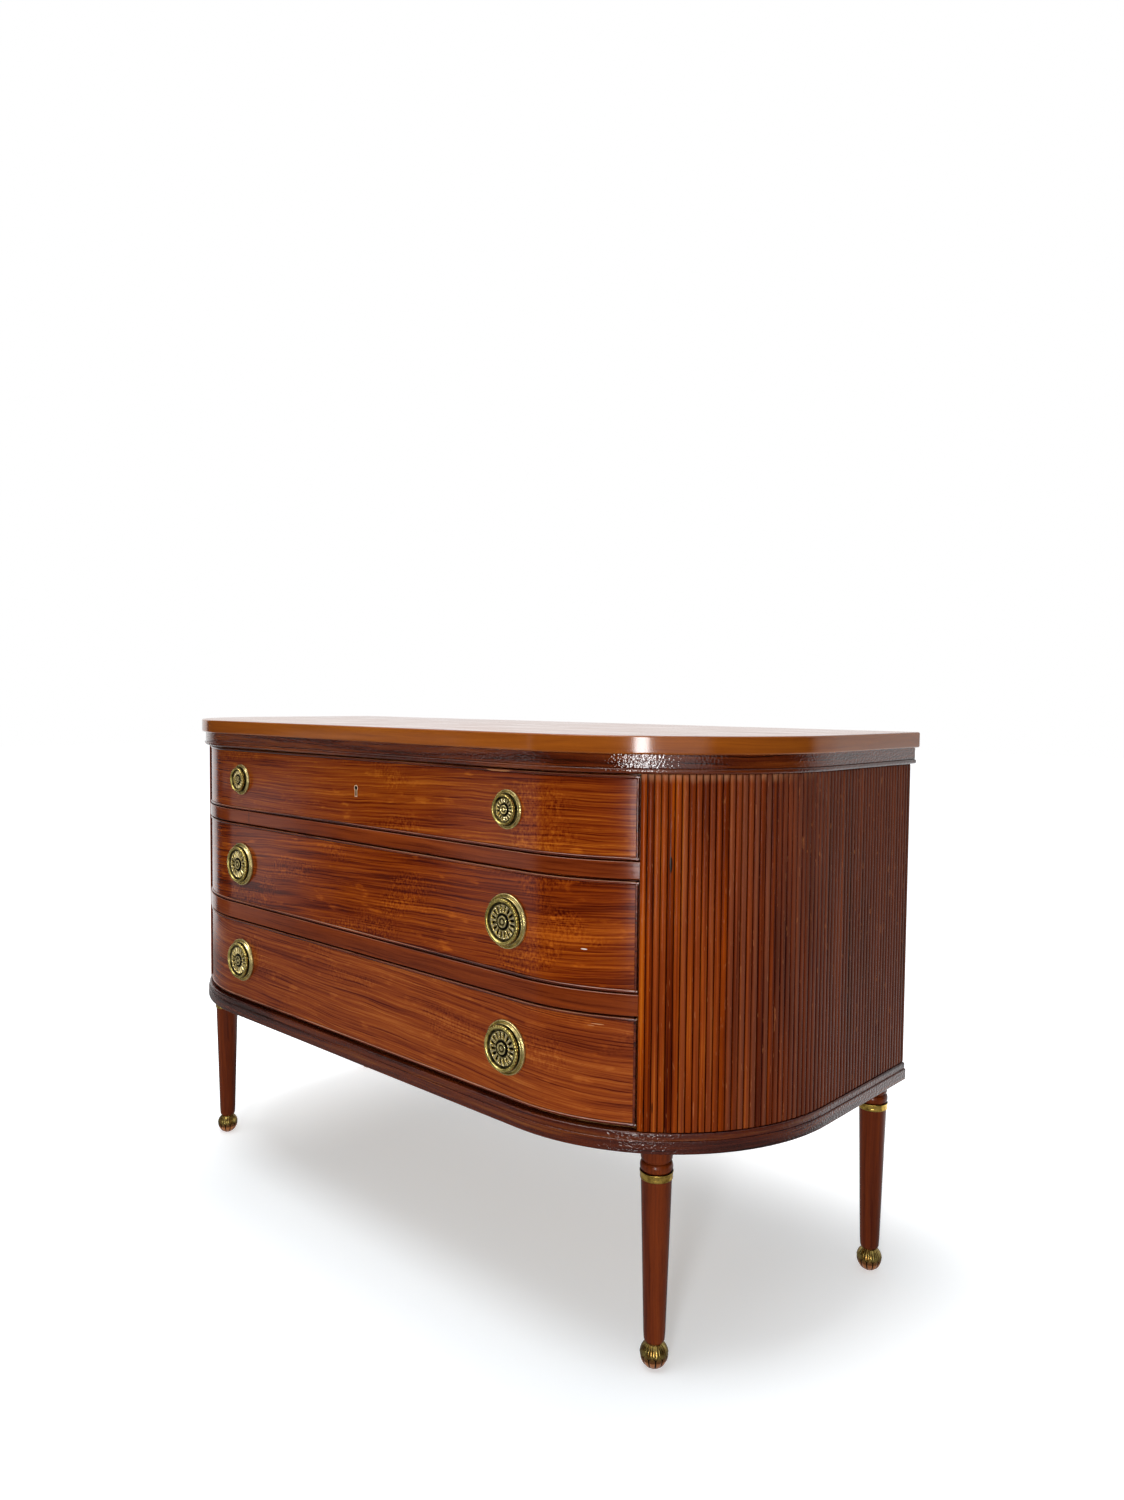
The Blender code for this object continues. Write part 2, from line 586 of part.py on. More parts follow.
def keyhole_outline(growth):
    """A keyhole in the plane of the front, grown outwards by this much: a round eye over a slot."""
    eye = KEYHOLE_EYE_RADIUS + growth
    half = KEYHOLE_SLOT_WIDTH / 2 + growth
    start = math.asin(half / eye)
    sweep = 2 * math.pi - 2 * start
    turns = [start + sweep * step / KEYHOLE_SEGMENTS for step in range(KEYHOLE_SEGMENTS + 1)]
    centre = KEYHOLE_HEIGHT / 2 - KEYHOLE_EYE_RADIUS
    low = -KEYHOLE_HEIGHT / 2 - growth
    outline = [(-eye * math.sin(turn), centre - eye * math.cos(turn)) for turn in turns]
    return outline + [(half, low), (-half, low)]


def keyhole_prism(name, growth, front, back, height):
    """A keyhole-shaped plug that runs from front to back through a drawer front."""
    outline = keyhole_outline(growth)
    rings = [[(x, y, height + z) for x, z in outline] for y in (front, back)]
    return run_along(name, rings)


def make_lock(drawer, front, steel, brass, parent):
    """The keyhole with its brass lining, the lock behind it, and the bolt that rises out of it."""
    height = TOP_FRONT_Z + TOP_FRONT_HEIGHT / 2 + KEYHOLE_LIFT
    growth = KEYHOLE_RIM + SEAT_GAP
    combine(front, keyhole_prism("keyhole_rim_cut", growth, FIELD_Y - OVERRUN, FIELD_Y + KEYHOLE_RIM_DEPTH, height),
            'DIFFERENCE')
    combine(front, keyhole_prism("keyhole_cut", 0, FIELD_Y - OVERRUN, FRONT_BACK_Y + OVERRUN, height),
            'DIFFERENCE')
    lining_mesh = keyhole_prism(drawer + "_escutcheon", KEYHOLE_RIM, FIELD_Y - SEAT_GAP,
                                FIELD_Y + KEYHOLE_RIM_DEPTH - SEAT_GAP, height)
    lining = add(drawer + "_escutcheon", lining_mesh, brass, parent=parent)
    combine(lining, keyhole_prism("escutcheon_cut", 0, FIELD_Y - OVERRUN, FRONT_BACK_Y, height), 'DIFFERENCE')

    x, y = bolt_place()
    top = TOP_FRONT_Z + TOP_FRONT_HEIGHT - LOCK_HEAD_GAP
    case_mesh = block(drawer + "_lock_case", (x - LOCK_WIDTH / 2, y - LOCK_DEPTH / 2, top - LOCK_HEIGHT),
                      (x + LOCK_WIDTH / 2, y + LOCK_DEPTH / 2, top))
    case = add(drawer + "_lock_case", case_mesh, steel, parent=parent)
    half_width = BOLT_WIDTH / 2 + BOLT_CLEARANCE
    half_depth = BOLT_DEPTH / 2 + BOLT_CLEARANCE
    channel = block("bolt_channel", (x - half_width, y - half_depth, top - BOLT_HEIGHT - SEAT_GAP),
                    (x + half_width, y + half_depth, top + OVERRUN))
    combine(case, channel, 'DIFFERENCE')

    bolt_axis = bpy.data.objects.new("lock_bolt_axis", None)
    bpy.context.collection.objects.link(bolt_axis)
    bolt_axis.location = (x, y, top)
    bolt_axis.parent = parent
    bolt_axis.matrix_parent_inverse = Matrix.Translation(-parent.location)
    bolt = block("lock_bolt", (x - BOLT_WIDTH / 2, y - BOLT_DEPTH / 2, top - BOLT_HEIGHT),
                 (x + BOLT_WIDTH / 2, y + BOLT_DEPTH / 2, top))
    bolt_piece = add("lock_bolt", bolt, steel, parent=bolt_axis)
    bolt_piece.matrix_parent_inverse = Matrix.Translation(-Vector((x, y, top)))


def leg_profile():
    """A leg from the neck at its ankle up to the tenon that enters the case, as (radius, height)."""
    ball_centre = math.sqrt(BALL_RADIUS ** 2 - BALL_FLAT_RADIUS ** 2)
    neck = ball_centre + math.sqrt(BALL_RADIUS ** 2 - NECK_RADIUS ** 2) + SEAT_GAP
    under = FLOOR_CLEARANCE - SEAT_GAP
    groove = under - CAP_HEIGHT
    collar = groove - CAP_GROOVE_HEIGHT
    ring_top = collar - COLLAR_HEIGHT
    ring_low = ring_top - RING_HEIGHT
    swell = (TAPER_FOOT_RADIUS - NECK_RADIUS) * math.sqrt(0.5)
    return [(NECK_RADIUS, neck), (NECK_RADIUS + swell, neck + ANKLE_ROUND / 3),
            (TAPER_FOOT_RADIUS, neck + ANKLE_ROUND), (TAPER_TOP_RADIUS, ring_low),
            (RING_SEAT_RADIUS, ring_low), (RING_SEAT_RADIUS, ring_top), (COLLAR_RADIUS, ring_top),
            (COLLAR_RADIUS, collar - COLLAR_HEIGHT / 4), (CAP_GROOVE_RADIUS, collar),
            (CAP_GROOVE_RADIUS, groove), (CAP_RADIUS, groove + CAP_ROUND), (CAP_RADIUS, under),
            (TENON_RADIUS, under), (TENON_RADIUS, FLOOR_CLEARANCE + TENON_LENGTH)]


def make_ball():
    """The ball foot: flat where it stands and where the leg meets it, with lobes all round."""
    centre = math.sqrt(BALL_RADIUS ** 2 - BALL_FLAT_RADIUS ** 2)
    low = -math.acos(BALL_FLAT_RADIUS / BALL_RADIUS)
    high = math.acos(NECK_RADIUS / BALL_RADIUS)
    tilts = [low + (high - low) * step / BALL_STEPS for step in range(BALL_STEPS + 1)]
    profile = [(BALL_RADIUS * math.cos(t), centre + BALL_RADIUS * math.sin(t)) for t in tilts]
    profile[0] = (profile[0][0], 0)
    ball = turned(profile, 2 * GADROONS)
    for vert in ball.verts:
        lobe = round(math.atan2(vert.co.y, vert.co.x) * GADROONS / math.pi) % 2
        radius = vert.co.xy.length
        inner = lobe == 1 and profile[0][0] < radius - GADROON_DEPTH and NECK_RADIUS < radius - GADROON_DEPTH
        if inner:
            vert.co.xy *= (radius - GADROON_DEPTH) / radius
    return shaped("ball_foot", ball)


def make_legs(wood, brass):
    """Four turned legs, each with a brass ring under its collar and a brass ball foot."""
    leg = shaped("leg", turned(leg_profile(), LEG_SEGMENTS))
    ring_low = FLOOR_CLEARANCE - CAP_HEIGHT - CAP_GROOVE_HEIGHT - COLLAR_HEIGHT - RING_HEIGHT
    ring_top = ring_low + RING_HEIGHT - 2 * SEAT_GAP
    quarter = (ring_top - ring_low) / 4
    bore = RING_SEAT_RADIUS + SEAT_GAP
    section = [(bore, ring_low), (TAPER_TOP_RADIUS, ring_low), (RING_RADIUS, ring_low + quarter),
               (RING_RADIUS, ring_top - quarter), (COLLAR_RADIUS, ring_top), (bore, ring_top)]
    bm = bmesh.new()
    row = [bm.verts.new((radius, 0, height)) for radius, height in section]
    for k, vert in enumerate(row):
        bm.edges.new((vert, row[(k + 1) % len(row)]))
    bmesh.ops.spin(bm, geom=bm.verts[:] + bm.edges[:], axis=(0, 0, 1), cent=(0, 0, 0),
                   angle=2 * math.pi, steps=LEG_SEGMENTS, use_merge=True)
    ring = shaped("leg_ring", bm)
    ball = make_ball()
    for name, (x, y) in leg_places():
        add("leg_" + name, leg, wood, (x, y, 0))
        add("leg_ring_" + name, ring, brass, (x, y, 0))
        add("ball_foot_" + name, ball, brass, (x, y, 0))


def make_drawers(veneer, bead_wood, box_wood, brass, steel):
    """Three drawers, each carried by an empty on the line that it slides along."""
    small = knob_meshes("small", (SMALL_PLATE_RADIUS, SMALL_HEAD_RADIUS, SMALL_ROSETTE_RADIUS,
                                  SMALL_EYE_RADIUS, SMALL_BOSS_RADIUS), SMALL_PLATE_HEIGHT, SMALL_HEAD_HEIGHT)
    large = knob_meshes("large", (LARGE_PLATE_RADIUS, LARGE_HEAD_RADIUS, LARGE_ROSETTE_RADIUS,
                                  LARGE_EYE_RADIUS, LARGE_BOSS_RADIUS), LARGE_PLATE_HEIGHT, LARGE_HEAD_HEIGHT)
    drawers = (("drawer_lower", CASE_Z, LOWER_FRONT_Z, LOWER_FRONT_HEIGHT, large),
               ("drawer_middle", MIDDLE_RUN_Z, MIDDLE_FRONT_Z, MIDDLE_FRONT_HEIGHT, large),
               ("drawer_top", TOP_RUN_Z, TOP_FRONT_Z, TOP_FRONT_HEIGHT, small))
    for drawer, run, low, front_height, knobs in drawers:
        slide = bpy.data.objects.new(drawer + "_slide", None)
        bpy.context.collection.objects.link(slide)
        middle = low + front_height / 2
        slide.location = (0, FIELD_Y, middle)
        high = low + front_height
        groove = (low + BOTTOM_LIFT, low + BOTTOM_LIFT + BOTTOM_THICKNESS + 2 * SEAT_GAP)
        front = make_drawer_front(drawer, low, high, groove, veneer, bead_wood, slide)
        make_drawer_box(drawer, run + RUN_GAP, high - SIDE_DROP, groove, box_wood, slide)
        make_knobs(drawer, knobs, middle, brass, slide)
    make_lock(drawer, front, steel, brass, slide)


def main():
    """Clear the scene and build the chest."""
    for item in list(bpy.data.objects):
        bpy.data.objects.remove(item)
    top_wood = finish("top_mahogany", (0.420, 0.105, 0.024), 0.22)
    dark_wood = finish("moulding_mahogany", (0.085, 0.022, 0.011), 0.35)
    veneer = finish("striped_mahogany", (0.230, 0.042, 0.014), 0.25)
    reed_wood = finish("reeded_mahogany", (0.200, 0.040, 0.014), 0.38)
    rail_wood = finish("rail_mahogany", (0.180, 0.036, 0.014), 0.33)
    leg_wood = finish("leg_mahogany", (0.170, 0.036, 0.014), 0.33)
    case_wood = finish("case_pine", (0.430, 0.270, 0.130), 0.60)
    box_wood = finish("drawer_oak", (0.480, 0.310, 0.160), 0.55)
    brass = finish("aged_brass", (0.460, 0.340, 0.090), 0.30, 1.0)
    steel = finish("lock_iron", (0.180, 0.165, 0.150), 0.45, 1.0)

    make_slab(top_wood)
    make_mouldings(dark_wood)
    make_bottom_board(case_wood)
    make_side_panels(reed_wood)
    make_back_panel(case_wood)
    make_partitions(case_wood)
    make_rails(rail_wood)
    make_runner_frames(case_wood)
    make_legs(leg_wood, brass)
    make_drawers(veneer, dark_wood, box_wood, brass, steel)


main()
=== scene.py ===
"""A low chest of three drawers on turned legs, with reeded sides and round brass knobs.

The plan is a D: a straight front, quarter-round corners, short straight sides and a flat back.
Bowed pieces are drawn as a section at their left end and run round the front from there.
"""
import math

import bmesh
import bpy
from mathutils import Matrix, Vector


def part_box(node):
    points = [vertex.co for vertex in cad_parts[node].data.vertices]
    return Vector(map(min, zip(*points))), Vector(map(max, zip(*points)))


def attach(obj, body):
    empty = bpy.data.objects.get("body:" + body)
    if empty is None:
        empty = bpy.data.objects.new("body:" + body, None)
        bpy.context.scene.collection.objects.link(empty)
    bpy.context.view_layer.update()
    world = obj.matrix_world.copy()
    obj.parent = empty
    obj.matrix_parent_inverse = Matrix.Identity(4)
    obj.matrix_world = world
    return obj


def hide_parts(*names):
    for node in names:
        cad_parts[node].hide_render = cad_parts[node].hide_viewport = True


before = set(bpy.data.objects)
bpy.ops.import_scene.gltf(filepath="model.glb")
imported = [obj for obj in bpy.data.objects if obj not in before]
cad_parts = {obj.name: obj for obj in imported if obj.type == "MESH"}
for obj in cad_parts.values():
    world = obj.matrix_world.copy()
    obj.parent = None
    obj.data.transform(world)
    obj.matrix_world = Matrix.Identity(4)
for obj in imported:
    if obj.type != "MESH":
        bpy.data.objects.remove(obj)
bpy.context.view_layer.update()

# Plan of the top's edge, which every layer of the case follows further in
SLAB_LOW, SLAB_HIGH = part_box("top_slab")
HALF_WIDTH = SLAB_HIGH.x
BACK_Y = SLAB_HIGH.y
CORNER_RADIUS = 0.2705
CORNER_X = HALF_WIDTH - CORNER_RADIUS
CORNER_Y = CORNER_RADIUS - BACK_Y
QUARTER_TURN = math.pi / 2
FULL_TURN = 2 * math.pi
MIRRORED = Matrix.Scale(-1, 4, (1, 0, 0))

# How far round the corners the drawers reach, and the gaps that are left round them
DRAWER_TURN = math.radians(33.6)
FRONT_END_GAP = 0.0012
SEAT_GAP = 0.0003
COCKBEAD_WIDTH = 0.0038
COCKBEAD_DEPTH = 0.0095
COCKBEAD_INSET = 0.0140
BEAD_SHY = 0.0006
FIELD_INSET = 0.0155
FRONT_THICKNESS = 0.0200
FRONT_BACK_INSET = FIELD_INSET + FRONT_THICKNESS
REBATE_INSET = COCKBEAD_INSET + COCKBEAD_DEPTH + SEAT_GAP
FIELD_ARRIS = 0.0006
FIELD_OVERLAP = 0.0020
FRONT_TURN = DRAWER_TURN - FRONT_END_GAP / (CORNER_RADIUS - FIELD_INSET)
FIELD_TURN = FRONT_TURN - COCKBEAD_WIDTH / (CORNER_RADIUS - FIELD_INSET)

# Slab and mouldings
SLAB_ARRIS = 0.0022
FRIEZE_INSET = 0.0060
FRIEZE_BEAD_INSET = 0.0042
FRIEZE_BEAD_HEIGHT = 0.0057
BASE_LOWER_INSET = 0.0080
BASE_UPPER_INSET = 0.0096
BASE_LOWER_HEIGHT = 0.0148
MOULDING_WIDTH = 0.0160
MOULDING_ARRIS = 0.0012
QUIRK = 0.0006
DIVIDER_INSET = 0.0130
DIVIDER_ARRIS = 0.0009

# How far up a face looks where its arris is painted lighter, for wear by hands and a painted highlight from
# the light above, how far up or down where it lies level, and how far back on the inner side of a drawer's
# front
RUBBED_AND_LIT_LOW, RUBBED_AND_LIT_HIGH = 0.40, 0.97
LEVEL_FACE = 0.99
INNER_FACE = 0.3

# Reeded sides
REED_INSET = 0.0107
REED_PITCH = 0.0078
REED_WIDTH_SHARE = 0.96
REED_DEPTH = 0.0034
REED_ROUND = 0.0030
REED_END_ROUND = 0.0024
# How far down from their tops the reeds carry a painted highlight
REED_TIP_HIGHLIGHT = 0.0120
PANEL_THICKNESS = 0.0140

# Keyhole; its lining is bright down to the first depth, and dark from the second
KEYHOLE_EYE_RADIUS = 0.0030
KEYHOLE_SLOT_WIDTH = 0.0030
KEYHOLE_RIM = 0.0013
KEYHOLE_STEPS = 20
LINING_BRIGHT, LINING_DARK = 0.0001, 0.0003
OVERRUN = 0.0040

# Legs
CAP_RADIUS = 0.0186
CAP_HEIGHT = 0.0150
CAP_FLARE = 0.0006
CAP_ROUND = 0.0040
GROOVE_RADIUS = 0.0160
GROOVE_HEIGHT = 0.0017
COLLAR_RADIUS = 0.0193
RING_LIFT = 0.0045
RING_LOW, RING_TOP = (corner.z + RING_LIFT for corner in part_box("leg_ring_front_left"))
RING_RADIUS = 0.0196
RING_HOLLOW = 0.0006
RING_LIP = 0.0004
TAPER_TOP_RADIUS = 0.0180
TAPER_FOOT_RADIUS = 0.01275
ANKLE_ROUND = 0.0110
ANKLE_EASE = 0.0002
NECK_RADIUS = 0.0098
NECK_SWELL = 0.0022
TENON_RADIUS = 0.0085
BALL_RADIUS = 0.0170
BALL_FLAT_RADIUS = 0.0052
BALL_STEPS = 44
GADROONS = 12
GADROON_STEPS = 12
GADROON_DEPTH = 0.0013
GADROON_SINK = 0.0006
LEAF_SINK = 0.0001
LEAF_VEIN_DEPTH = 0.0004
LEAF_SIDE_DEPTH = 0.0006

# Steps that keep a bend smooth
BEND_STEPS = 30
ARRIS_STEPS = 3
LEG_STEPS = 64
KNOB_STEPS = 192
SEED_SIZE = 0.001
MERGE_REACH = 0.000002
SMOOTH_ANGLE = math.radians(32)


# Drawing: lines, sweeps and turnings

def begin():
    """Go back to whole pieces and let go of everything."""
    if bpy.context.object and bpy.context.object.mode == 'EDIT':
        bpy.ops.object.mode_set(mode='OBJECT')
    bpy.ops.object.select_all(action='DESELECT')


def take_up(piece):
    """Select just this piece."""
    begin()
    piece.select_set(True)
    bpy.context.view_layer.objects.active = piece


def pick(kind, test):
    """While editing, select only the points, edges or faces that pass a test."""
    bpy.ops.mesh.select_mode(type={"verts": 'VERT', "edges": 'EDGE', "faces": 'FACE'}[kind])
    bpy.ops.mesh.select_all(action='DESELECT')
    mesh = bmesh.from_edit_mesh(bpy.context.object.data)
    for item in getattr(mesh, kind):
        if test(item):
            item.select_set(True)
    bmesh.update_edit_mesh(bpy.context.object.data)


def ease(test, radius, steps):
    """While editing, round off the edges that pass a test."""
    pick("edges", test)
    bpy.ops.mesh.bevel(offset=radius, segments=steps, affect='EDGES')


def push(x, y, z):
    """Extrude what is selected by this much."""
    bpy.ops.mesh.extrude_region_move(TRANSFORM_OT_translate={"value": (x, y, z)})


def swing(side, turn):
    """Extrude what is selected round the centre of a front corner, from left to right."""
    bpy.ops.mesh.spin(steps=BEND_STEPS, angle=-turn, center=(side * CORNER_X, CORNER_Y, 0), axis=(0, 0, 1))


def bow(turn):
    """Extrude what is selected along the front, as far round each corner as turn."""
    swing(-1, turn)
    push(2 * CORNER_X, 0, 0)
    swing(1, turn)


def spin_whole(steps):
    """Extrude what is selected all the way round the upright axis."""
    bpy.ops.mesh.spin(steps=steps, angle=FULL_TURN, center=(0, 0, 0), axis=(0, 0, 1))


def climb(edge):
    """How far an edge rises from one end to the other."""
    return abs(edge.verts[0].co.z - edge.verts[1].co.z)


def draw(points):
    """Begin a piece as a line through these points, left open for editing with its end selected."""
    begin()
    bpy.ops.mesh.primitive_plane_add(size=SEED_SIZE, location=points[0])
    bpy.ops.object.transform_apply(location=True, rotation=False, scale=False)
    bpy.ops.object.mode_set(mode='EDIT')
    bpy.ops.mesh.select_mode(type='VERT')
    bpy.ops.mesh.merge(type='CENTER')
    for here, there in zip(points, points[1:]):
        push(*(Vector(there) - Vector(here)))


def close(first, last):
    """Join the two ends of a drawn line and fill it with one face."""
    ends = (Vector(first), Vector(last))
    pick("verts", lambda vert: min((vert.co - end).length for end in ends) < MERGE_REACH)
    bpy.ops.mesh.edge_face_add()
    bpy.ops.mesh.select_all(action='SELECT')
    bpy.ops.mesh.edge_face_add()


def draw_face(points):
    """Begin a piece as one face with this outline."""
    draw(points)
    close(points[0], points[-1])


def outward():
    """Leave editing, with every face pointing out."""
    bpy.ops.mesh.select_all(action='SELECT')
    bpy.ops.mesh.remove_doubles(threshold=MERGE_REACH)
    bpy.ops.mesh.normals_make_consistent(inside=False)
    bpy.ops.object.mode_set(mode='OBJECT')
    return bpy.context.object


def left_point(inset, z, turn):
    """A point this far in from the top's edge, this far round the left corner."""
    reach = CORNER_RADIUS - inset
    return (-CORNER_X - reach * math.sin(turn), CORNER_Y - reach * math.cos(turn), z)


def run_round(section, turn):
    """A bowed bar: its section of (inset, z) taken round the front, as far round each corner as turn."""
    draw_face([left_point(inset, z, turn) for inset, z in section])
    bow(turn)
    return outward()


def run_all_round(section):
    """A moulding taken from the back of the left side, round the front, to the back of the right side."""
    draw_face([(inset - HALF_WIDTH, BACK_Y, z) for inset, z in section])
    push(0, CORNER_Y - BACK_Y, 0)
    bow(QUARTER_TURN)
    push(0, BACK_Y - CORNER_Y, 0)
    return outward()


def turn_up(profile, steps):
    """A turning about Z from a profile of (radius, z) that begins and ends on the axis."""
    draw([(radius, 0, z) for radius, z in profile])
    bpy.ops.mesh.select_all(action='SELECT')
    spin_whole(steps)
    return outward()


def quarter(steps=ARRIS_STEPS):
    """Sines and cosines over a quarter turn."""
    turns = [QUARTER_TURN * step / steps for step in range(steps + 1)]
    return [(math.sin(turn), math.cos(turn)) for turn in turns]


def lower_nose(inset, z, radius):
    """The rounded lower front edge of a bar, from underneath to its front."""
    return [(inset + radius * (1 - s), z + radius * (1 - c)) for s, c in quarter()]


def upper_nose(inset, z, radius):
    """The rounded upper front edge of a bar, from its front to its top."""
    return [(inset + radius * (1 - c), z - radius * (1 - s)) for s, c in quarter()]


def eased(points, steps):
    """A smooth line of (radius, z) through a few points."""
    line = []
    padded = [points[0], *points, points[-1]]
    for spots in zip(padded, padded[1:], padded[2:], padded[3:]):
        for t in (step / steps for step in range(steps)):
            line.append(tuple(b + t * (c - a) / 2 + t * t * (a - 2.5 * b + 2 * c - d / 2)
                              + t * t * t * (1.5 * b - a / 2 - 1.5 * c + d / 2)
                              for a, b, c, d in zip(*spots)))
    line.append(tuple(points[-1]))
    return line


def fit(piece, shape, operation):
    """Cut a shape away from a piece, or join it on, and clear the shape away."""
    modifier = piece.modifiers.new(operation.lower(), 'BOOLEAN')
    modifier.operation = operation
    modifier.object = shape
    take_up(piece)
    bpy.ops.object.modifier_apply(modifier=modifier.name)
    bpy.data.objects.remove(shape)


def joined(pieces):
    """Several shapes as one piece."""
    take_up(pieces[0])
    for piece in pieces:
        piece.select_set(True)
    bpy.ops.object.join()
    return pieces[0]


def copied(piece, matrix):
    """A copy of a piece with its own mesh, put in its place."""
    take_up(piece)
    bpy.ops.object.duplicate()
    copy = bpy.context.object
    copy.matrix_world = matrix
    bpy.ops.object.transform_apply(location=True, rotation=True, scale=True)
    if matrix.determinant() < 0:
        bpy.ops.object.mode_set(mode='EDIT')
        outward()
    return copy


def carve(piece, cut):
    """Move each point as a carver would, and store how dark its place is painted, for patina and painted
    shade, below 0 where it is painted bright, for polish and painted highlight.
    """
    grime = []
    for vert in piece.data.vertices:
        vert.co, stored_tone = cut(vert.co.copy())
        grime.append(stored_tone)
    piece.data.attributes.new("grime", 'FLOAT', 'POINT').data.foreach_set("value", grime)


def soft(value, low, high):
    """A soft step from 0 to 1 as value goes from low to high."""
    t = min(max((value - low) / (high - low), 0), 1)
    return t * t * (3 - 2 * t)


# Grain: where each point of a piece lies along, across and into its wood

def edge_place(point):
    """How far a point lies along the top's edge from the middle of the front, and how far in."""
    side = math.copysign(1, point.x)
    across = abs(point.x) - CORNER_X
    if across <= 0:
        return point.x, point.y + BACK_Y
    if point.y >= CORNER_Y:
        run = CORNER_X + CORNER_RADIUS * QUARTER_TURN + point.y - CORNER_Y
        return side * run, HALF_WIDTH - abs(point.x)
    turn = math.atan2(across, CORNER_Y - point.y)
    return side * (CORNER_X + CORNER_RADIUS * turn), CORNER_RADIUS - math.hypot(across, CORNER_Y - point.y)


def along_front(point):
    """Grain that runs round the case."""
    run, inset = edge_place(point)
    return run, point.z, inset


def upright(point):
    """Grain that stands up round the case."""
    run, inset = edge_place(point)
    return point.z, run, inset


def straight_up(point):
    """Grain that stands up through a turned piece."""
    return point.z, point.x, point.y


def finish_piece(piece, name, finish, body, nodes, grain=None, flats=False):
    """Name a piece, give it its finish, unless it has one, and put it in place of its CAD nodes.

    With flats, a flat face stays flat beside its arrises.
    """
    piece.name = piece.data.name = name
    take_up(piece)
    bpy.ops.object.shade_smooth_by_angle(angle=SMOOTH_ANGLE)
    if flats:
        even = piece.modifiers.new("even", 'WEIGHTED_NORMAL')
        even.keep_sharp = True
        bpy.ops.object.modifier_apply(modifier=even.name)
    if not piece.data.materials:
        piece.data.materials.append(finish)
    if grain:
        layer = piece.data.attributes.new("grain", 'FLOAT_VECTOR', 'POINT')
        layer.data.foreach_set("vector", [part for vert in piece.data.vertices for part in grain(vert.co)])
    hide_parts(*nodes)
    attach(piece, body)
    return piece


def face_finish(piece, finish, test):
    """Give a second finish to the faces that pass a test."""
    piece.data.materials.append(finish)
    index = len(piece.data.materials) - 1
    for face in piece.data.polygons:
        if test(face):
            face.material_index = index


# Finishes

# Marks of age, as places along and up the front, half sizes and a colour
REED_TOP_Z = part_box("reeded_panel_right")[1].z
REED_MARKS = ((0.5242, 0.5897, 0.0019, 0.0098, "1c0a06"), (0.4957, 0.3125, 0.0007, 0.0115, "140804"),
              (0.5062, 0.3140, 0.0008, 0.0070, "2a1006"))
MIDDLE_DRAWER_MARKS = ((0.4201, 0.4882, 0.0045, 0.0008, "d8c8b8"),)
LOWER_DRAWER_MARKS = ((0.4384, 0.4036, 0.0090, 0.0006, "b07a50"),
                      (0.4300, 0.4012, 0.0050, 0.0005, "a06a44"))
BEAD_MARKS = ((0.2868, 0.6868, 0.0215, 0.0016, "9a6238"),)
RAIL_MARKS = ((-0.2765, 0.5783, 0.0007, 0.0200, "24100a"),)


def sign(operation):
    """A sign for sums on wires, and its reflected form, each of which adds a Math node."""
    def straight(wire, other):
        return wire.finish.math(operation, wire, other)

    def reflected(wire, other):
        return wire.finish.math(operation, other, wire)

    return straight, reflected


class Wire:
    """A value that changes over a surface, on which sums can be written."""

    def __init__(self, finish, socket):
        self.finish, self.socket = finish, socket

    def of(self, operation, *terms):
        """Any other sum, by the name of its Math node's operation."""
        return self.finish.math(operation, self, *terms)

    __add__, __radd__ = sign('ADD')
    __sub__, __rsub__ = sign('SUBTRACT')
    __mul__, __rmul__ = sign('MULTIPLY')
    __truediv__, __rtruediv__ = sign('DIVIDE')


# A colour Mix node has no other names for these sockets
MIX_SHARE, MIX_FIRST, MIX_SECOND = 0, 6, 7
MIX_COLOUR = 2


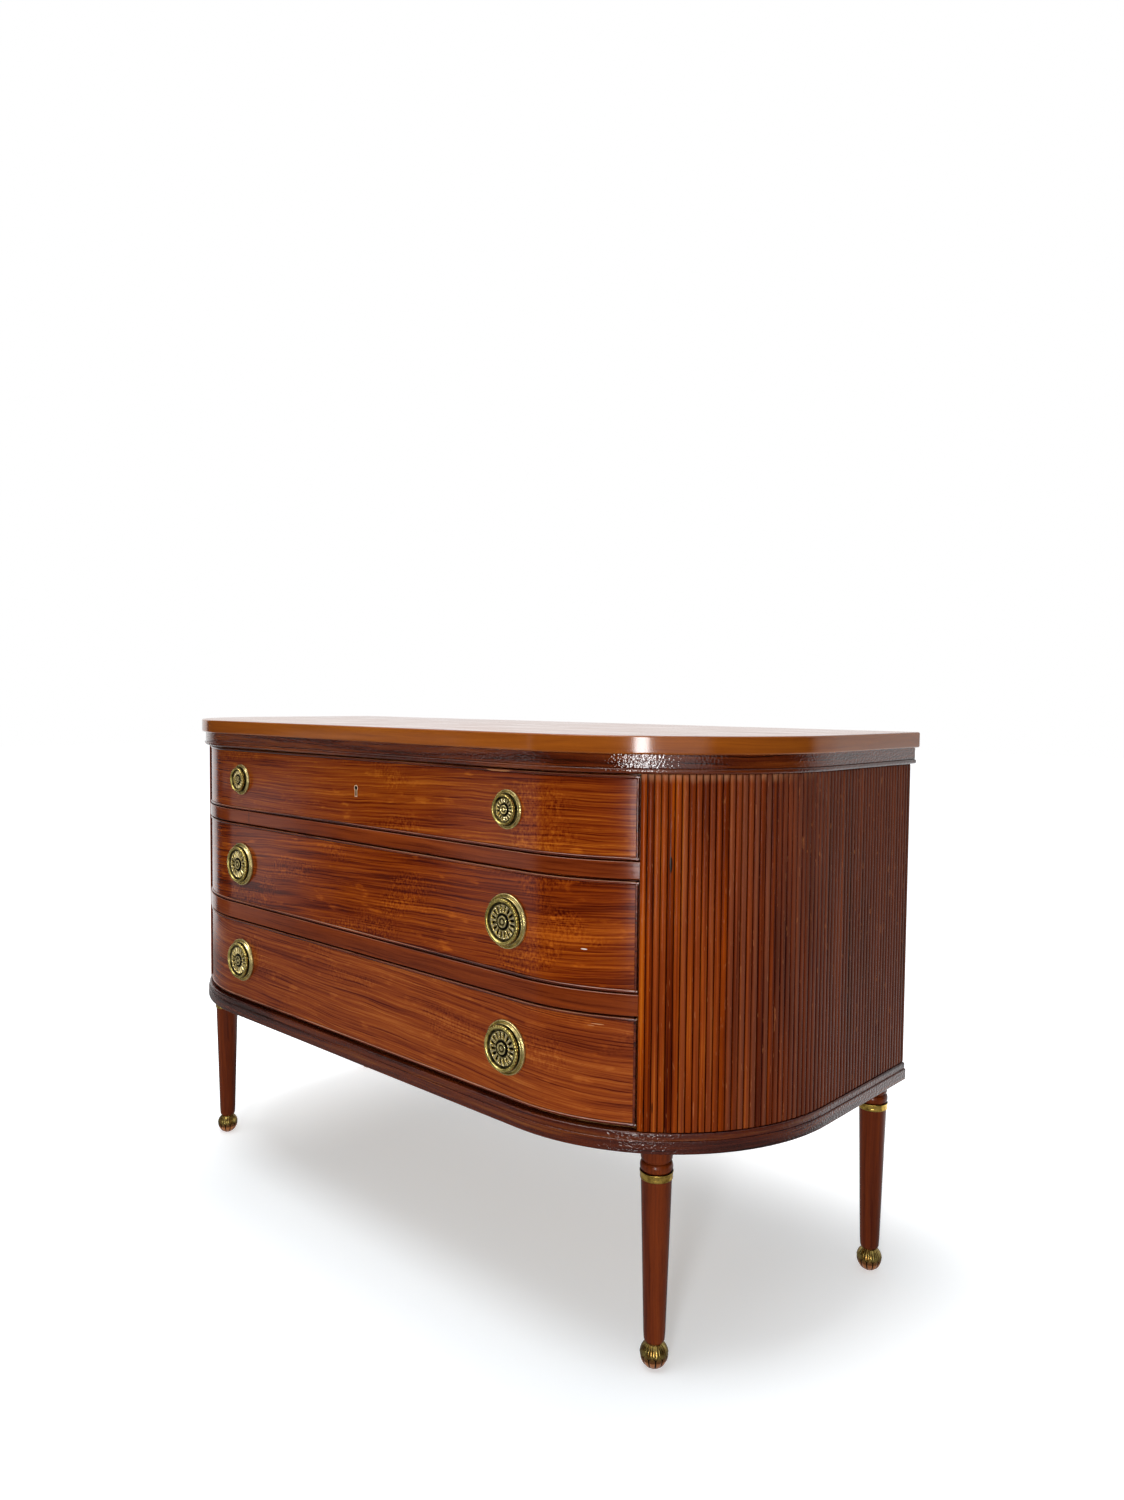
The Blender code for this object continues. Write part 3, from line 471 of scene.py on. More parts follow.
class Finish:
    """A material, or the world, as it is put together."""

    def __init__(self, name=None, tree=None):
        if tree is None:
            self.material = bpy.data.materials.new(name)
            self.material.use_nodes = True
            tree = self.material.node_tree
        self.tree = tree

    def add(self, kind, settings, values, output=0):
        """A node of this type, with its settings, and the values or wires of its sockets."""
        node = self.tree.nodes.new(kind)
        for key, value in settings.items():
            if key == "stops":
                self.set_stops(node.color_ramp, value)
            else:
                setattr(node, key, value)
        for socket, value in (values.items() if isinstance(values, dict) else enumerate(values)):
            self.feed(node.inputs[socket], value)
        return Wire(self, node.outputs[output])

    def feed(self, socket, value):
        """Run a wire to a socket, or set its value."""
        if isinstance(value, Wire):
            self.tree.links.new(value.socket, socket)
        else:
            socket.default_value = value

    def set_stops(self, ramp, stops):
        """Set a ramp's stops, as places and colours."""
        while len(ramp.elements) < len(stops):
            ramp.elements.new(0.5)
        for element, (place, colour) in zip(ramp.elements, stops):
            element.position = place
            element.color = (*colour, 1)

    def math(self, operation, *terms):
        """A sum of wires or numbers."""
        return self.add("ShaderNodeMath", {"operation": operation}, terms)

    def shade(self, **values):
        """Set the shader's own sockets, named with _ for a space."""
        for name, value in values.items():
            self.feed(self.tree.nodes["Principled BSDF"].inputs[name.replace("_", " ")], value)
        return self.material

    def parts(self, vector):
        """A vector's three parts."""
        return [self.add("ShaderNodeSeparateXYZ", {}, [vector], output=k) for k in range(3)]

    def place(self):
        """Where a point lies in the chest, as three wires."""
        return self.parts(self.add("ShaderNodeTexCoord", {}, [], output="Object"))

    def grain(self):
        """The grain's place, as three wires: along, across and into the wood."""
        return self.parts(self.add("ShaderNodeAttribute", {"attribute_name": "grain"}, [], output="Vector"))

    def stored(self, name):
        """A number stored at the points of the piece."""
        return self.add("ShaderNodeAttribute", {"attribute_name": name}, [], output="Fac")

    def vector(self, x, y, z):
        """Three parts as one vector."""
        return self.add("ShaderNodeCombineXYZ", {}, [x, y, z])

    def noise(self, x, y, z, detail=2.0, rough=0.5):
        """Cloudy noise around a half, at a place given by three wires or numbers."""
        values = {"Vector": self.vector(x, y, z), "Scale": 1.0, "Detail": detail, "Roughness": rough}
        return self.add("ShaderNodeTexNoise", {"noise_dimensions": '3D'}, values)

    def step(self, value, low, high):
        """A soft step from 0 to 1 as value goes from low to high."""
        return self.add("ShaderNodeMapRange", {"interpolation_type": 'SMOOTHSTEP', "clamp": True},
                        [value, low, high, 0.0, 1.0])

    def spot(self, across, up, mark):
        """1 inside a mark given by its middle and half sizes, with a soft edge."""
        middle_across, middle_up, half_across, half_up = mark
        off_across, off_up = (across - middle_across) / half_across, (up - middle_up) / half_up
        return 1 - self.step(off_across * off_across + off_up * off_up, 0.6, 1.1)

    def ramp(self, value, stops):
        """The colour that a value stands for."""
        return self.add("ShaderNodeValToRGB", {"stops": stops}, [value])

    def mix(self, share, first, second):
        """The second colour laid over the first."""
        ends = [colour if isinstance(colour, Wire) else (*colour, 1) for colour in (first, second)]
        return self.add("ShaderNodeMix", {"data_type": 'RGBA', "clamp_factor": True},
                        {MIX_SHARE: share, MIX_FIRST: ends[0], MIX_SECOND: ends[1]}, output=MIX_COLOUR)

    def bump(self, height, distance, strength=1.0):
        """A fine relief of this height."""
        return self.add("ShaderNodeBump", {}, {"Height": height, "Distance": distance, "Strength": strength})


def colour(code):
    """A colour written as the eye sees it, as the light that it stands for."""
    parts = [int(code[k:k + 2], 16) / 255 for k in (0, 2, 4)]
    return tuple(((part + 0.055) / 1.055) ** 2.4 if part > 0.04045 else part / 12.92 for part in parts)


# How far grain wanders from a straight line, over an arm's length and over a hand's breadth
GRAIN_SWAY, GRAIN_QUIVER = 0.022, 0.0045

# How high the fine roughness of old metal and of sawn wood stands
FINE_RELIEF = 0.0004


def mahogany(name, tones, seed, rough=0.17, specular=0.10, across=165.0, along=4.5, slope=0.0, streak=1.0,
             band=1.0, mottle=0.0, ripple=0.00006, swell=0.00016, orange_peel=0.0, solid=False, marks=()):
    """Mahogany: thin wavy streaks along the grain, flecked patches, pores, marks and a rippled polish."""
    f = Finish(name)
    run, rise, depth = f.place() if solid else f.grain()
    deep, middle, bright, pale = [colour(code) for code in tones]
    sway = f.noise(run * 2.3 + seed, rise * 5, depth * 5) - 0.5
    quiver = f.noise(run * 14, rise * 32 + seed, depth * 30) - 0.5
    level = rise + run * slope + sway * GRAIN_SWAY + quiver * GRAIN_QUIVER
    streaks = f.noise(run * along + seed, level * across, depth * (across / 2), detail=6.0, rough=0.64)
    threads = f.noise(run * 9 + seed, level * 640, depth * 200)
    bands = f.noise(run * 1.5 + seed * 2, level * 38, depth * 9)
    flecked = f.step(f.noise(run * 7, rise * 15 + seed * 3, depth * 3), 0.52, 0.64)
    flecks = f.noise(run * 300, level * 230, depth * 60 + seed, rough=0.6)
    islands = f.noise(run * 26, rise * 75 + seed * 5, depth * 20, detail=3.0)
    tone = (streaks - 0.5) * (1.15 * streak) + (bands - 0.5) * (0.6 * band) + 0.5
    tone = tone + (flecks - 0.48) * flecked * mottle + f.step(islands, 0.6, 0.72) * (0.22 * mottle)
    tone = tone - f.step(threads, 0.56, 0.68) * (0.16 * streak)
    wood = f.ramp(tone, [(0.24, deep), (0.43, middle), (0.60, bright), (0.84, pale)])
    pores = f.noise(run * 120, level * 2100, depth * 900 + seed)
    wood = f.mix(f.step(pores, 0.60, 0.70) * 0.35, wood, deep)
    for *mark, code in marks:
        wood = f.mix(f.spot(run, rise, mark), wood, colour(code))
    ridges = f.noise(run * 26, level * 420, depth * 300 + seed)
    peel = f.noise(run * 300, rise * 400, depth * 300 + seed, detail=1.0)
    waves = f.noise(run * 16, rise * 40, depth * 40 + seed)
    hazy = f.noise(run * 9, rise * 30, depth * 30 + seed, detail=3.0)
    return f.shade(Base_Color=wood, Roughness=(hazy - 0.5) * 0.14 + rough, Specular_IOR_Level=specular,
                   Normal=f.bump(ridges * ripple + waves * swell + peel * orange_peel, distance=1.0))


def reeded_wood():
    """The reeds' mahogany: each slat its own tone, orange near the front and duller towards the back as
    painted shade, with painted shade down each reed's flanks and painted highlights on the back crests and
    the front tips.
    """
    f = Finish("reed_polish")
    rise, run, depth = f.grain()
    slat = f.stored("slat")
    own = f.add("ShaderNodeTexWhiteNoise", {"noise_dimensions": '1D'}, {"W": slat}) - 0.5
    streaks = f.noise(rise * 3.6 + slat * 3.7, run * 330, depth * 200, detail=4.0, rough=0.62) - 0.5
    patches = f.noise(rise * 3.4, slat * 0.35, 0.0, detail=3.0) - 0.5
    tone = streaks + own * 0.26 + patches * 0.6 + 0.5
    warm = f.ramp(tone, [(0.18, colour("3e0e02")), (0.42, colour("6a2502")), (0.60, colour("8a3804")),
                         (0.84, colour("a8580e"))])
    # Darker, duller tones for the reeds towards the back: painted shade and painted reflection of the side
    # turned from the window
    cool_shaded = f.ramp(tone, [(0.2, colour("280c06")), (0.5, colour("4c1a0c")), (0.82, colour("74361c"))])
    back = f.step(run.of('ABSOLUTE') + own * 0.16, 0.50, 0.74)
    chips = f.step(f.noise(rise * 60 + slat, run * 500, depth * 300), 0.66, 0.72)
    hazy = f.noise(rise * 30, run * 260, depth * 90, detail=3.0)
    wood = f.mix(chips * 0.5, f.mix(back, warm, cool_shaded), colour("9a5a34"))

    def into(share):
        return REED_INSET + REED_DEPTH * share

    # Lighter crests on the back reeds: painted highlight, with some wear
    crest = 1 - f.step(depth + (hazy - 0.5) * 0.0006, into(0.04), into(0.3))
    wood = f.mix(crest * back * 0.35, wood, colour("7c4e38"))
    # Painted shade down each reed's flanks and in the grooves between reeds, but not on the backing
    sunk = f.step(depth + (hazy - 0.5) * 0.001, into(0.16), into(0.8))
    ends = f.step(depth, into(1.1), into(1.3))
    wood = f.mix(sunk * (1 - ends) * 0.92, wood, colour("160602"))
    # Painted highlight at the top ends of the front reeds
    tip_highlight = f.step(rise + (hazy - 0.5) * REED_TIP_HIGHLIGHT, REED_TOP_Z - REED_TIP_HIGHLIGHT, REED_TOP_Z) * (1 - sunk)
    wood = f.mix(tip_highlight * (1 - back) * 0.4, wood, colour("c08a64"))
    for *mark, code in REED_MARKS:
        wood = f.mix(f.spot(run, rise, mark), wood, colour(code))
    return f.shade(Base_Color=wood, Roughness=(hazy - 0.5) * 0.2 + 0.2, Specular_IOR_Level=0.04,
                   Normal=f.bump(hazy, distance=0.0005, strength=0.5))


def aged_brass(name, bright, dull, rough=0.22, copper=None, metallic=1.0):
    """Old brass: bright where it stands up, for wear and painted highlight, dark where it lies deep, for
    patina and painted shade, coppery low down if asked.
    """
    f = Finish(name)
    place = f.place()
    grime = f.stored("grime")
    patches = f.noise(*(axis * 140 for axis in place), detail=4.0, rough=0.6)
    fine = f.noise(*(axis * 900 for axis in place))
    metal = f.mix(f.step(patches + (fine - 0.5) * 0.3, 0.36, 0.66), colour(bright), colour(dull))
    if copper:
        high_up = f.step(place[2] + (patches - 0.5) * 0.006, BALL_RADIUS * 0.75, BALL_RADIUS * 1.15)
        metal = f.mix(1 - high_up, metal, colour(copper))
    # Painted highlight, with polish, where the stored value is below 0
    metal = f.mix(f.step(grime * -1.0, 0.1, 0.9), metal, colour("f4e2b2"))
    # Patina in hollows, and painted shade in the knobs' slots and under their heads, where the stored value
    # is high
    metal = f.mix(f.step(grime + (patches - 0.5) * 0.3, 0.2, 0.7), metal, colour("0c0803"))
    roughness = grime.of('MAXIMUM', 0) * 0.5 + (patches - 0.5) * 0.2 + rough
    return f.shade(Base_Color=metal, Metallic=metallic, Roughness=roughness,
                   Normal=f.bump(fine * 0.3 + patches, FINE_RELIEF, strength=0.5))


def plain_board(name, tones, along, rough=0.62):
    """Unpolished board seen only inside or behind: grain lines, a few darker rings and saw fuzz."""
    f = Finish(name)
    place = f.place()
    run = place.pop(along)
    across, depth = place
    wander = f.noise(run * 1.5, across * 4, depth * 4) - 0.5
    rings = f.noise(run * 0.9, (across + wander * 0.03) * 55, depth * 40, detail=4.0, rough=0.6)
    fuzz = f.noise(run * 70, across * 900, depth * 900)
    stain = f.noise(run * 5, across * 7, depth * 7, detail=3.0)
    pale, middle, dark = [colour(code) for code in tones]
    wood = f.ramp(rings + (fuzz - 0.5) * 0.25, [(0.3, pale), (0.52, middle), (0.74, dark)])
    wood = f.mix(f.step(stain, 0.5, 0.75) * 0.4, wood, dark)
    return f.shade(Base_Color=wood, Roughness=(fuzz - 0.5) * 0.15 + rough, Specular_IOR_Level=0.2,
                   Normal=f.bump(fuzz + rings * 0.5, FINE_RELIEF, strength=0.6))


def lock_iron():
    """Dull iron, with a brown bloom of old rust."""
    f = Finish("lock_iron_old")
    bloom = f.noise(*(axis * 120 for axis in f.place()), detail=5.0, rough=0.65)
    metal = f.mix(f.step(bloom, 0.42, 0.68), colour("6f6a62"), colour("4a3020"))
    return f.shade(Base_Color=metal, Metallic=1.0, Roughness=bloom * 0.5 + 0.25,
                   Normal=f.bump(bloom, FINE_RELIEF, strength=0.5))


# Case

def make_slab(finishes):
    """The top: one board, its arrises eased, with the grain of its face running lengthways."""
    first = (-HALF_WIDTH, BACK_Y, SLAB_LOW.z)
    draw([first, (-HALF_WIDTH, CORNER_Y, SLAB_LOW.z)])
    bow(QUARTER_TURN)
    push(0, BACK_Y - CORNER_Y, 0)
    close(first, (HALF_WIDTH, BACK_Y, SLAB_LOW.z))
    push(0, 0, SLAB_HIGH.z - SLAB_LOW.z)
    ease(lambda edge: climb(edge) < MERGE_REACH, SLAB_ARRIS, ARRIS_STEPS + 1)
    slab = outward()
    slab.data.materials.append(finishes["slab_edge"])
    face_finish(slab, finishes["slab_face"], lambda face: abs(face.normal.z) > LEVEL_FACE)
    finish_piece(slab, "top", None, "carcass", ["top_slab"], along_front, True)


def make_frieze(finish):
    """The moulding under the top: a flat face over a bead, with a fine quirk between them."""
    low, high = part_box("frieze_moulding")
    back = FRIEZE_INSET + MOULDING_WIDTH
    rise, middle = FRIEZE_INSET - FRIEZE_BEAD_INSET, low.z + FRIEZE_BEAD_HEIGHT / 2
    turns = [math.pi * (step / 10 - 0.5) for step in range(11)]
    bead = [(FRIEZE_INSET - rise * math.cos(turn), middle + FRIEZE_BEAD_HEIGHT / 2 * math.sin(turn))
            for turn in turns]
    quirk_z = low.z + FRIEZE_BEAD_HEIGHT + QUIRK
    section = [(back, low.z), (FRIEZE_INSET + QUIRK, low.z), *bead,
               (FRIEZE_INSET + QUIRK, quirk_z - QUIRK / 2), (FRIEZE_INSET, quirk_z), (FRIEZE_INSET, high.z),
               (back, high.z)]
    piece = run_all_round(section)
    finish_piece(piece, "frieze", finish, "carcass", ["frieze_moulding"],
                 along_front, True)


def make_base(finish):
    """The base: a rounded lower step and a narrower upper one."""
    low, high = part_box("base_moulding")
    back = BASE_LOWER_INSET + MOULDING_WIDTH
    step_z = low.z + BASE_LOWER_HEIGHT
    section = [(back, low.z), *lower_nose(BASE_LOWER_INSET, low.z, MOULDING_ARRIS),
               *upper_nose(BASE_LOWER_INSET, step_z, MOULDING_ARRIS), (BASE_UPPER_INSET + QUIRK, step_z),
               (BASE_UPPER_INSET + QUIRK, step_z + QUIRK), (BASE_UPPER_INSET, step_z + QUIRK),
               *upper_nose(BASE_UPPER_INSET, high.z, MOULDING_ARRIS * 2), (back, high.z)]
    piece = run_all_round(section)
    finish_piece(piece, "base", finish, "carcass", ["base_moulding"], along_front, True)


def make_divider(level, finishes):
    """A divider between two drawers: bowed at the front, let in between the partitions behind."""
    node = "divider_" + level
    low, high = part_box(node)
    turn = DRAWER_TURN - SEAT_GAP / (CORNER_RADIUS - DIVIDER_INSET)
    shoulder_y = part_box("partition_left")[0].y - SEAT_GAP
    shoulder_x = CORNER_X + (CORNER_Y - shoulder_y) * math.tan(turn)
    first = (low.x, high.y, low.z)
    end = left_point(DIVIDER_INSET, low.z, turn)
    draw([first, (low.x, shoulder_y, low.z), (-shoulder_x, shoulder_y, low.z), end])
    bow(turn)
    push(shoulder_x + end[0], shoulder_y - end[1], 0)
    push(high.x - shoulder_x, 0, 0)
    push(0, high.y - shoulder_y, 0)
    close(first, (high.x, high.y, low.z))
    push(0, 0, high.z - low.z)

    def front_edge(edge):
        insets = [edge_place(vert.co)[1] for vert in edge.verts]
        return climb(edge) < MERGE_REACH and max(abs(inset - DIVIDER_INSET) for inset in insets) < SEAT_GAP

    ease(front_edge, DIVIDER_ARRIS, ARRIS_STEPS)
    rail = outward()
    rail.data.materials.append(finishes["rail"])
    # Upward faces of the front arris get the lighter copy: wear and painted highlight
    face_finish(rail, finishes["arris"], lambda face: RUBBED_AND_LIT_LOW < face.normal.z < RUBBED_AND_LIT_HIGH)
    finish_piece(rail, "rail_" + level, None, "carcass", [node], along_front, True)


def make_reed(width):
    """One reed, its crest and its ends rounded, at the place where the right side begins to run straight."""
    low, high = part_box("reeded_panel_right")
    middle = Vector((HALF_WIDTH - REED_INSET - REED_DEPTH / 2, CORNER_Y, (low.z + high.z) / 2))

    def crest(edge):
        return min(vert.co.x for vert in edge.verts) > middle.x

    begin()
    bpy.ops.mesh.primitive_cube_add(size=1, location=middle, scale=(REED_DEPTH, width, high.z - low.z))
    bpy.ops.object.transform_apply(location=True, rotation=True, scale=True)
    bpy.ops.object.mode_set(mode='EDIT')
    ease(lambda edge: crest(edge) and climb(edge) > REED_DEPTH, REED_ROUND, steps=4)
    ease(lambda edge: crest(edge) and climb(edge) <= REED_DEPTH, REED_END_ROUND, steps=2)
    return outward()


def make_backing():
    """The board behind the right side's reeds."""
    low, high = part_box("reeded_panel_right")
    inner, outer = REED_INSET + PANEL_THICKNESS, REED_INSET + REED_DEPTH - SEAT_GAP
    section = [(inner, low.z), (outer, low.z), (outer, high.z), (inner, high.z)]
    draw_face([(-x, y, z) for x, y, z in (left_point(inset, z, DRAWER_TURN) for inset, z in section)])
    swing(1, QUARTER_TURN - DRAWER_TURN)
    push(0, BACK_Y - CORNER_Y, 0)
    return outward()


def make_reeds(hand, finish):
    """A side panel: one reed, copied round the corner and along the side, over a backing."""
    radius = CORNER_RADIUS - REED_INSET
    bend = (QUARTER_TURN - DRAWER_TURN) * radius
    length = bend + BACK_Y - CORNER_Y
    count = round(length / REED_PITCH)
    pitch = length / count
    reed = make_reed(pitch * REED_WIDTH_SHARE)
    centre = Vector((CORNER_X, CORNER_Y, 0))
    parts = []
    for number in range(count):
        run = (number + 0.5) * pitch
        if run < bend:
            turn = Matrix.Rotation((run - bend) / radius, 4, 'Z')
            place = Matrix.Translation(centre) @ turn @ Matrix.Translation(-centre)
        else:
            place = Matrix.Translation((0, run - bend, 0))
        part = copied(reed, place)
        slat = number + (count if hand == "left" else 0)
        layer = part.data.attributes.new("slat", 'FLOAT', 'POINT')
        layer.data.foreach_set("value", [float(slat)] * len(part.data.vertices))
        parts.append(part)
    bpy.data.objects.remove(reed)

    panel = joined([make_backing(), *parts])
    if hand == "left":
        mirrored = copied(panel, MIRRORED)
        bpy.data.objects.remove(panel)
        panel = mirrored
    finish_piece(panel, "reeds_" + hand, finish, "carcass", ["reeded_panel_" + hand],
                 upright)


# Legs

def make_leg():
    """A leg with a cap, a groove, a bulge over its ring, a long taper, an ankle and its tenon."""
    low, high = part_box("leg_front_left")
    neck, tenon_top = low.z, high.z
    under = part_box("base_moulding")[0].z - SEAT_GAP
    groove = under - CAP_HEIGHT
    collar = groove - GROOVE_HEIGHT
    ankle = eased([(NECK_RADIUS, neck), (NECK_RADIUS + NECK_SWELL, neck + ANKLE_ROUND * 0.28),
                   (TAPER_FOOT_RADIUS - ANKLE_EASE, neck + ANKLE_ROUND * 0.75),
                   (TAPER_FOOT_RADIUS + ANKLE_EASE, neck + ANKLE_ROUND * 1.3)], steps=5)
    half = (collar - RING_TOP) / 2
    bulge = [(COLLAR_RADIUS - half * 0.5 * (1 - math.cos(turn)), RING_TOP + half + half * math.sin(turn))
             for turn in (math.pi * (step / 8 - 0.5) for step in range(9))]
    cap = [(CAP_RADIUS - CAP_ROUND * 0.4 * (1 - s), groove + CAP_ROUND * (1 - c))
           for s, c in quarter(steps=5)]
    return turn_up([(0, neck), *ankle, (TAPER_TOP_RADIUS, RING_LOW), (TAPER_TOP_RADIUS, RING_TOP), *bulge,
                    (GROOVE_RADIUS, collar), (GROOVE_RADIUS, groove), *cap, (CAP_RADIUS + CAP_FLARE, under),
                    (TENON_RADIUS, under), (TENON_RADIUS, tenon_top), (0, tenon_top)], LEG_STEPS)


def make_ring():
    """A leg's brass ring, a little hollow between its lips, darker along both edges."""
    tall = RING_TOP - RING_LOW
    bore = TAPER_TOP_RADIUS - SEAT_GAP
    face = eased([(TAPER_TOP_RADIUS + RING_LIP, RING_LOW), (RING_RADIUS - RING_LIP, RING_LOW + tall * 0.12),
                  (RING_RADIUS - RING_HOLLOW, RING_LOW + tall * 0.5), (RING_RADIUS, RING_LOW + tall * 0.86),
                  (COLLAR_RADIUS, RING_TOP)], steps=4)
    draw_face([(radius, 0, z) for radius, z in [(bore, RING_LOW), *face, (bore, RING_TOP)]])
    spin_whole(LEG_STEPS)
    pick("faces", lambda one: len(one.verts) > 4)
    bpy.ops.mesh.delete(type='ONLY_FACE')
    ring = outward()
    middle = RING_LOW + tall / 2
    carve(ring, lambda spot: (spot, soft(abs(spot.z - middle), tall * 0.36, tall * 0.5) * 0.7))
    return ring


def make_ball():
    """A ball foot: gadroons rise from below to its middle, and leaves hang over them from the neck."""
    centre = math.sqrt(BALL_RADIUS ** 2 - BALL_FLAT_RADIUS ** 2)
    low = -math.acos(BALL_FLAT_RADIUS / BALL_RADIUS)
    high = math.acos(NECK_RADIUS / BALL_RADIUS)
    tilts = [low + (high - low) * step / BALL_STEPS for step in range(BALL_STEPS + 1)]
    profile = [(BALL_RADIUS * math.cos(tilt), centre + BALL_RADIUS * math.sin(tilt)) for tilt in tilts]
    profile[0] = (profile[0][0], 0)
    ball = turn_up([(0, 0), *profile, (0, profile[-1][1])], GADROON_STEPS * GADROONS)

    def cut(spot):
        radius = spot.xy.length
        if radius < BALL_FLAT_RADIUS * 0.9:
            return spot, 0.8
        turn = math.atan2(spot.y, spot.x)
        tilt = math.atan2(spot.z - centre, radius)
        lobe = abs(math.cos(turn * GADROONS / 2))
        leaf = abs(math.sin(turn * GADROONS / 2))
        leaf_edge = 0.02 + 0.42 * (1 - leaf ** 0.7)
        on_leaf = soft(tilt, leaf_edge - 0.03, leaf_edge + 0.05)
        gadroon = -GADROON_DEPTH * (1 - lobe ** 0.5) * soft(tilt, low, low + 0.25)
        vein = -LEAF_VEIN_DEPTH * soft(leaf, 0.93, 1.0) - LEAF_SIDE_DEPTH * soft(0.35 - leaf, 0, 0.3)
        relief = gadroon * (1 - on_leaf) + (vein - LEAF_SINK) * on_leaf - GADROON_SINK * (1 - on_leaf)
        grime = (1 - on_leaf) * soft(0.55 - lobe, 0, 0.5) + on_leaf * soft(0.3 - leaf, 0, 0.3)
        grime = max(grime, 0.9 * soft(0.06 - abs(tilt - leaf_edge + 0.03), 0, 0.05))
        keep = (radius + relief) / radius
        if high - tilt < 0.02 or tilt - low < 0.02:
            keep = 1
        return Vector((spot.x * keep, spot.y * keep, spot.z)), grime

    carve(ball, cut)
    return ball


def make_legs(finishes):
    """Four turned legs, each with its brass ring and gadrooned ball."""
    patterns = ((make_leg(), "turned_leg_", "leg", "leg_mahogany", "leg_", straight_up),
                (make_ring(), "brass_ring_", "ring_brass", "aged_brass", "leg_ring_", None),
                (make_ball(), "brass_ball_", "foot_brass", "aged_brass", "ball_foot_", None))
    for corner in ("front_left", "front_right", "back_left", "back_right"):
        low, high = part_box("leg_" + corner)
        place = Matrix.Translation(((low.x + high.x) / 2, (low.y + high.y) / 2, 0))
        for pattern, name, finish, slot, node, grain in patterns:
            finish_piece(copied(pattern, place), name + corner, finishes[finish], "carcass",
                         [node + corner], grain)
    for pattern, *_ in patterns:
        bpy.data.objects.remove(pattern)


# Drawers

def make_front(drawer, finishes):
    """A drawer's front: the bowed board with its raised field, of a plain wood on its inner side."""
    low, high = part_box(drawer + "_front")
    board = run_round([(REBATE_INSET, low.z), (FRONT_BACK_INSET, low.z), (FRONT_BACK_INSET, high.z),
                       (REBATE_INSET, high.z)], FRONT_TURN)
    foot, head = low.z + COCKBEAD_WIDTH + SEAT_GAP, high.z - COCKBEAD_WIDTH - SEAT_GAP
    field = run_round([(REBATE_INSET + FIELD_OVERLAP, foot), *lower_nose(FIELD_INSET, foot, FIELD_ARRIS),
                       *upper_nose(FIELD_INSET, head, FIELD_ARRIS), (REBATE_INSET + FIELD_OVERLAP, head)],
                      FIELD_TURN)
    fit(board, field, 'UNION')
    if drawer == "drawer_top":
        lining_low, lining_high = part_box("drawer_top_escutcheon")
        before = lining_low.y - OVERRUN
        fit(board, keyhole(KEYHOLE_RIM + SEAT_GAP, before, lining_high.y), 'DIFFERENCE')
        fit(board, keyhole(0, before, high.y + FRONT_THICKNESS + OVERRUN), 'DIFFERENCE')
    board.data.materials.append(finishes[drawer])
    face_finish(board, finishes["front_core"], lambda face: face.normal.y > INNER_FACE
                and edge_place(face.center)[1] > REBATE_INSET + FIELD_OVERLAP)
    finish_piece(board, drawer + "_bowed_front", None, drawer, [drawer + "_front"],
                 along_front, True)


def make_cockbead(drawer, finishes):
    """The bead round a drawer's front: two bowed lengths and two uprights."""
    low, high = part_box(drawer + "_cockbead")
    width = COCKBEAD_WIDTH - BEAD_SHY
    half = width / 2
    back = COCKBEAD_INSET + COCKBEAD_DEPTH
    lengths = []
    for foot in (low.z + BEAD_SHY, high.z - COCKBEAD_WIDTH):
        lengths.append(run_round([(back, foot), *lower_nose(COCKBEAD_INSET, foot, half),
                                  *upper_nose(COCKBEAD_INSET, foot + width, half), (back, foot + width)],
                                 FRONT_TURN))
    reach = CORNER_RADIUS - COCKBEAD_INSET
    steps = [(half - half * math.cos(turn), half - half * math.sin(turn))
             for turn in (math.pi * step / 8 for step in range(9))]
    outline = [(back, 0), *((COCKBEAD_INSET + sunk, along) for along, sunk in steps), (back, width)]
    draw_face([left_point(inset, low.z + BEAD_SHY, FRONT_TURN - (BEAD_SHY + along) / reach)
               for inset, along in outline])
    push(0, 0, high.z - low.z - 2 * BEAD_SHY)
    upright_left = outward()
    bead = joined([*lengths, upright_left, copied(upright_left, MIRRORED)])
    # A darker finish, painted shade, with the lighter copy on upward faces, wear and painted highlight
    bead.data.materials.append(finishes["bead"])
    face_finish(bead, finishes["arris"], lambda face: RUBBED_AND_LIT_LOW < face.normal.z < RUBBED_AND_LIT_HIGH)
    finish_piece(bead, drawer + "_bead", None, drawer, [drawer + "_cockbead"],
                 along_front)


def keyhole(growth, front, back):
    """A plug with the outline of the keyhole, grown by this much, from front to back."""
    low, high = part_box("drawer_top_escutcheon")
    foot = low.z + KEYHOLE_RIM - growth
    eye = KEYHOLE_EYE_RADIUS + growth
    centre = high.z - KEYHOLE_RIM - KEYHOLE_EYE_RADIUS
    half = KEYHOLE_SLOT_WIDTH / 2 + growth
    start = math.asin(half / eye)
    turns = [start + (FULL_TURN - 2 * start) * step / KEYHOLE_STEPS for step in range(KEYHOLE_STEPS + 1)]
    outline = [(-eye * math.sin(turn), centre - eye * math.cos(turn)) for turn in turns]
    draw_face([(x, front, z) for x, z in [(-half, foot), *outline, (half, foot)]])
    push(0, back - front, 0)
    return outward()


